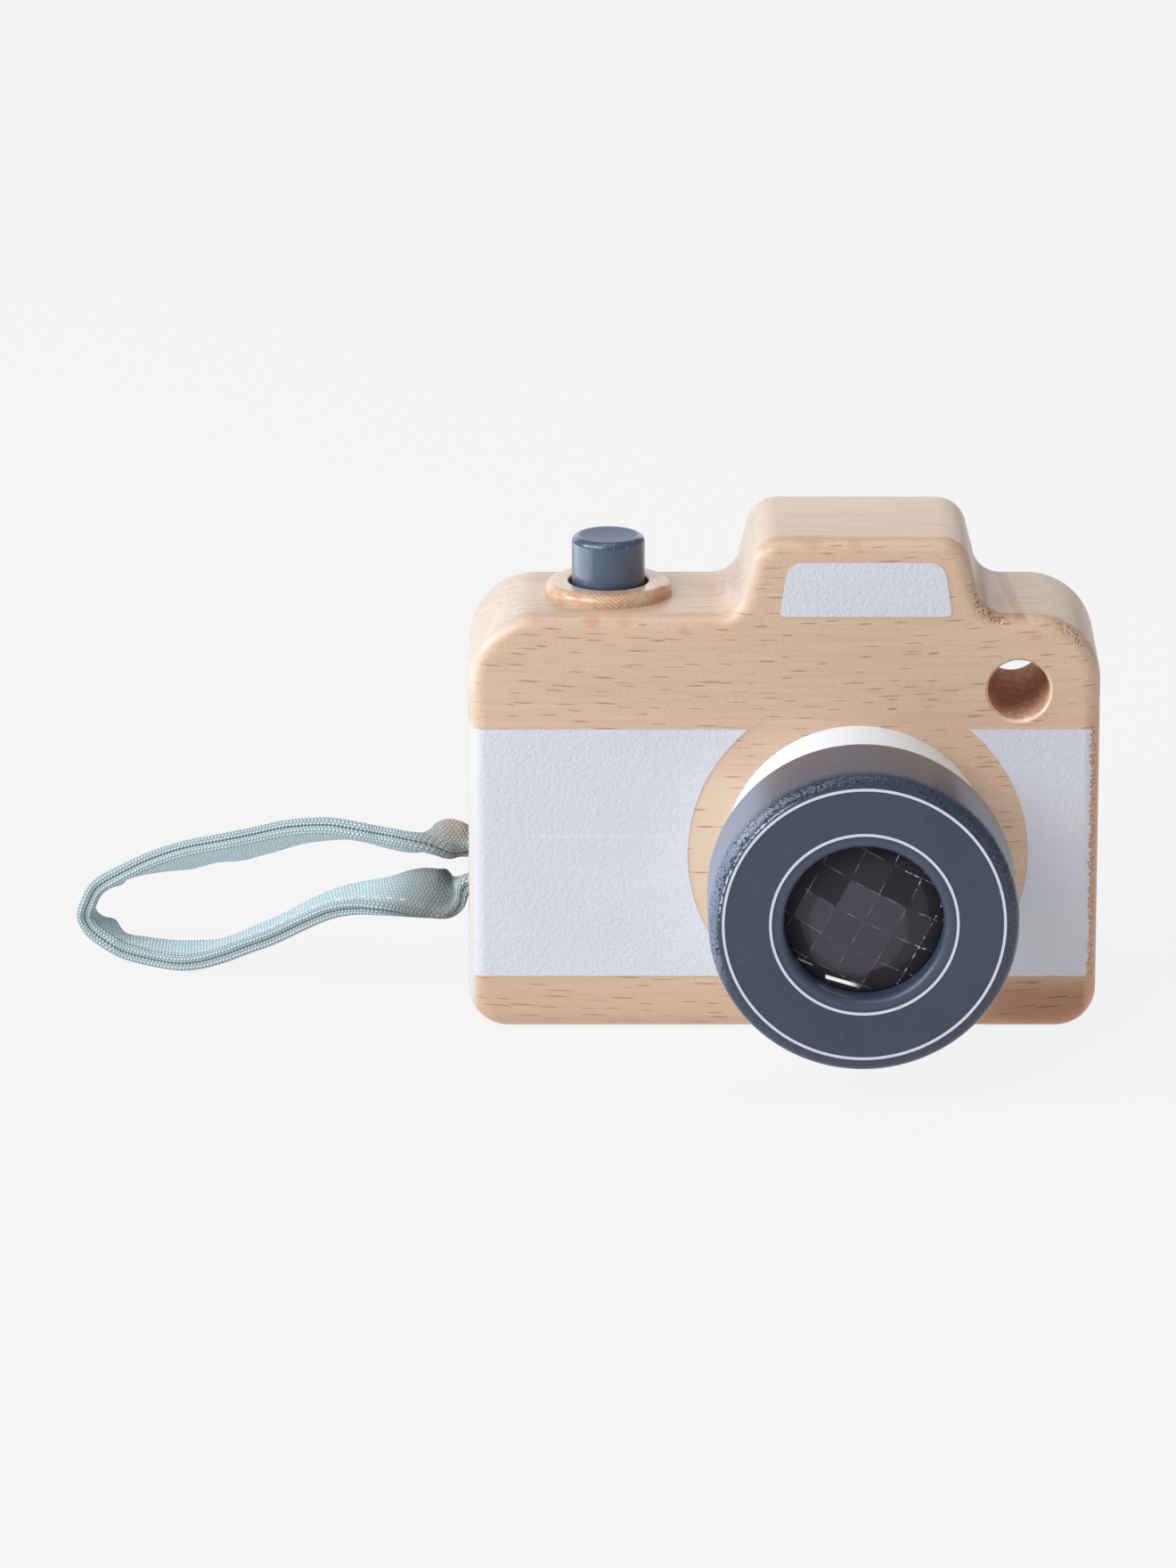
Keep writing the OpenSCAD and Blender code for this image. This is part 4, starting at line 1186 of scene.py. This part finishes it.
# The crown is a drum cut by flats that touch one ball, in square rows
def makeLens(glass):
    shape = bmesh.new()
    addDrum(shape, lens["crown"], lens["back"], lens["top"] + lens["stock"])
    centre = onLensAxis(0.0, 0.0, lens["top"] - lens["ball"])
    turn = math.radians(lensLook["turn"])
    for row in range(-lens["rows"], lens["rows"]):
        for column in range(-lens["rows"], lens["rows"]):
            a = (row + 0.5) * lensLook["pitch"]
            b = (column + 0.5) * lensLook["pitch"]
            if math.hypot(a, b) > lens["crown"] + lensLook["pitch"] / 2:
                continue
            rise = math.sqrt(lens["ball"] ** 2 - a * a - b * b)
            turnedA = a * math.cos(turn) - b * math.sin(turn)
            turnedB = a * math.sin(turn) + b * math.cos(turn)
            normal = Vector((turnedA, -rise, turnedB)).normalized()
            spot = centre + normal * lens["ball"] * mm
            everything = shape.verts[:] + shape.edges[:] + shape.faces[:]
            cut = bmesh.ops.bisect_plane(shape, geom=everything, plane_co=spot, plane_no=normal,
                                         clear_outer=True)
            rim = [item for item in cut["geom_cut"] if isinstance(item, bmesh.types.BMEdge)]
            bmesh.ops.contextual_create(shape, geom=rim)
    bmesh.ops.dissolve_limit(shape, angle_limit=math.radians(0.3), verts=shape.verts, edges=shape.edges)
    addDrum(shape, lens["rim"], lens["back"], lens["front"])
    addPiece("facetedLens", shape, glass, 4, "lens", ["faceted_lens"])


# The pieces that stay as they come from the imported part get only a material
def dressNodes(looks):
    for name, material in looks.items():
        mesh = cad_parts[name].data
        mesh.materials.clear()
        mesh.materials.append(material)


# Sizes and places in metres, power in watts
studio = {
    "world": 0.26, "white": (1.0, 1.0, 1.0, 1.0), "floor": 4.0, "floorZ": -0.0002,
    "paper": (0.055, 0.055, 0.055, 1.0), "paperGlow": 0.86, "paperRoughness": 0.9,
    # Name, place, target, size, power and colour of each light
    "lights": [
        ("keyLight", (-0.95, -1.0, 1.05), (0.0, 0.0, 0.04), (1.1, 1.1), 18.2, (1.0, 0.985, 0.97)),
        ("sideLight", (-1.35, -0.3, 0.7), (0.0, 0.0, 0.04), (0.5, 0.6), 9.6, (0.82, 0.93, 1.0)),
        ("backLight", (-0.3, 1.8, 0.6), (0.0, 0.0, 0.04), (2.6, 0.9), 9.0, (1.0, 1.0, 1.0)),
        ("topLight", (-0.05, -0.25, 1.4), (0.0, 0.0, 0.04), (0.6, 0.4), 2.5, (0.97, 0.985, 1.0)),
        ("floorCard", (-0.45, 0.05, 0.003), (-0.45, 0.05, 1.0), (0.4, 0.5), 2.0, (0.86, 0.94, 1.0))]}


def makeFloor():
    shape = bmesh.new()
    bmesh.ops.create_grid(shape, x_segments=1, y_segments=1, size=studio["floor"])
    mesh = bpy.data.meshes.new("floor")
    shape.to_mesh(mesh)
    shape.free()
    board = Board("floorPaper")
    board.feed(board.shader.inputs["Emission Color"], studio["white"])
    board.feed(board.shader.inputs["Emission Strength"], studio["paperGlow"])
    mesh.materials.append(board.finish(studio["paper"], studio["paperRoughness"], 0.0))
    floor = bpy.data.objects.new("floor", mesh)
    floor.location = (0, 0, studio["floorZ"])
    scene.collection.objects.link(floor)


def addLight(name, place, target, size, power, color):
    data = bpy.data.lights.new(name, "AREA")
    data.shape = "RECTANGLE"
    data.size, data.size_y = size
    data.energy = power
    data.color = color
    lamp = bpy.data.objects.new(name, data)
    lamp.location = place
    lamp.rotation_euler = (Vector(target) - Vector(place)).to_track_quat("-Z", "Y").to_euler()
    scene.collection.objects.link(lamp)


def makeStudio():
    world = bpy.data.worlds.new("studio")
    world.use_nodes = True
    background = world.node_tree.nodes["Background"]
    background.inputs["Color"].default_value = studio["white"]
    background.inputs["Strength"].default_value = studio["world"]
    scene.world = world
    for light in studio["lights"]:
        addLight(*light)
    scene.view_settings.view_transform = "Standard"


makeCamera()
print("camera placed")
makeStrap(makeCanvas(), makeFinish("stitchThread", stitchThread))
print("strap made")
beech = makeBeech("beech", bodyWood)
lacquered = makeBeech("collarWood", collarWood)
makeBody(beech)
print("block made")
panelPrint = makePanelPrint()
makePanel("bandLeft", "band_left", -1, 42, 0.6, panelPrint)
makePanel("bandRight", "band_right", 1, 28, 13.0, panelPrint)
makeWindow(panelPrint)
print("panels made")
makeButton(makeSlatePaint("buttonPaint", buttonPaint, wearAndLightOnButton), lacquered)
makeSpring(makeFinish("springSteel", springSteel))
makeLensBarrel(makeFinish("whitePaint", whitePaint), makeSlatePaint("ringPaint", ringPaint, wearAndLightOnRing))
makeLens(makeLensGlass())
print("button and lens made")
line = makeFinish("linePrint", linePrint)
dressNodes({"outer_ring_line": line, "inner_ring_line": line, "lens_sleeve": beech, "strap_peg": beech})
makeFloor()
makeStudio()
print("studio made")
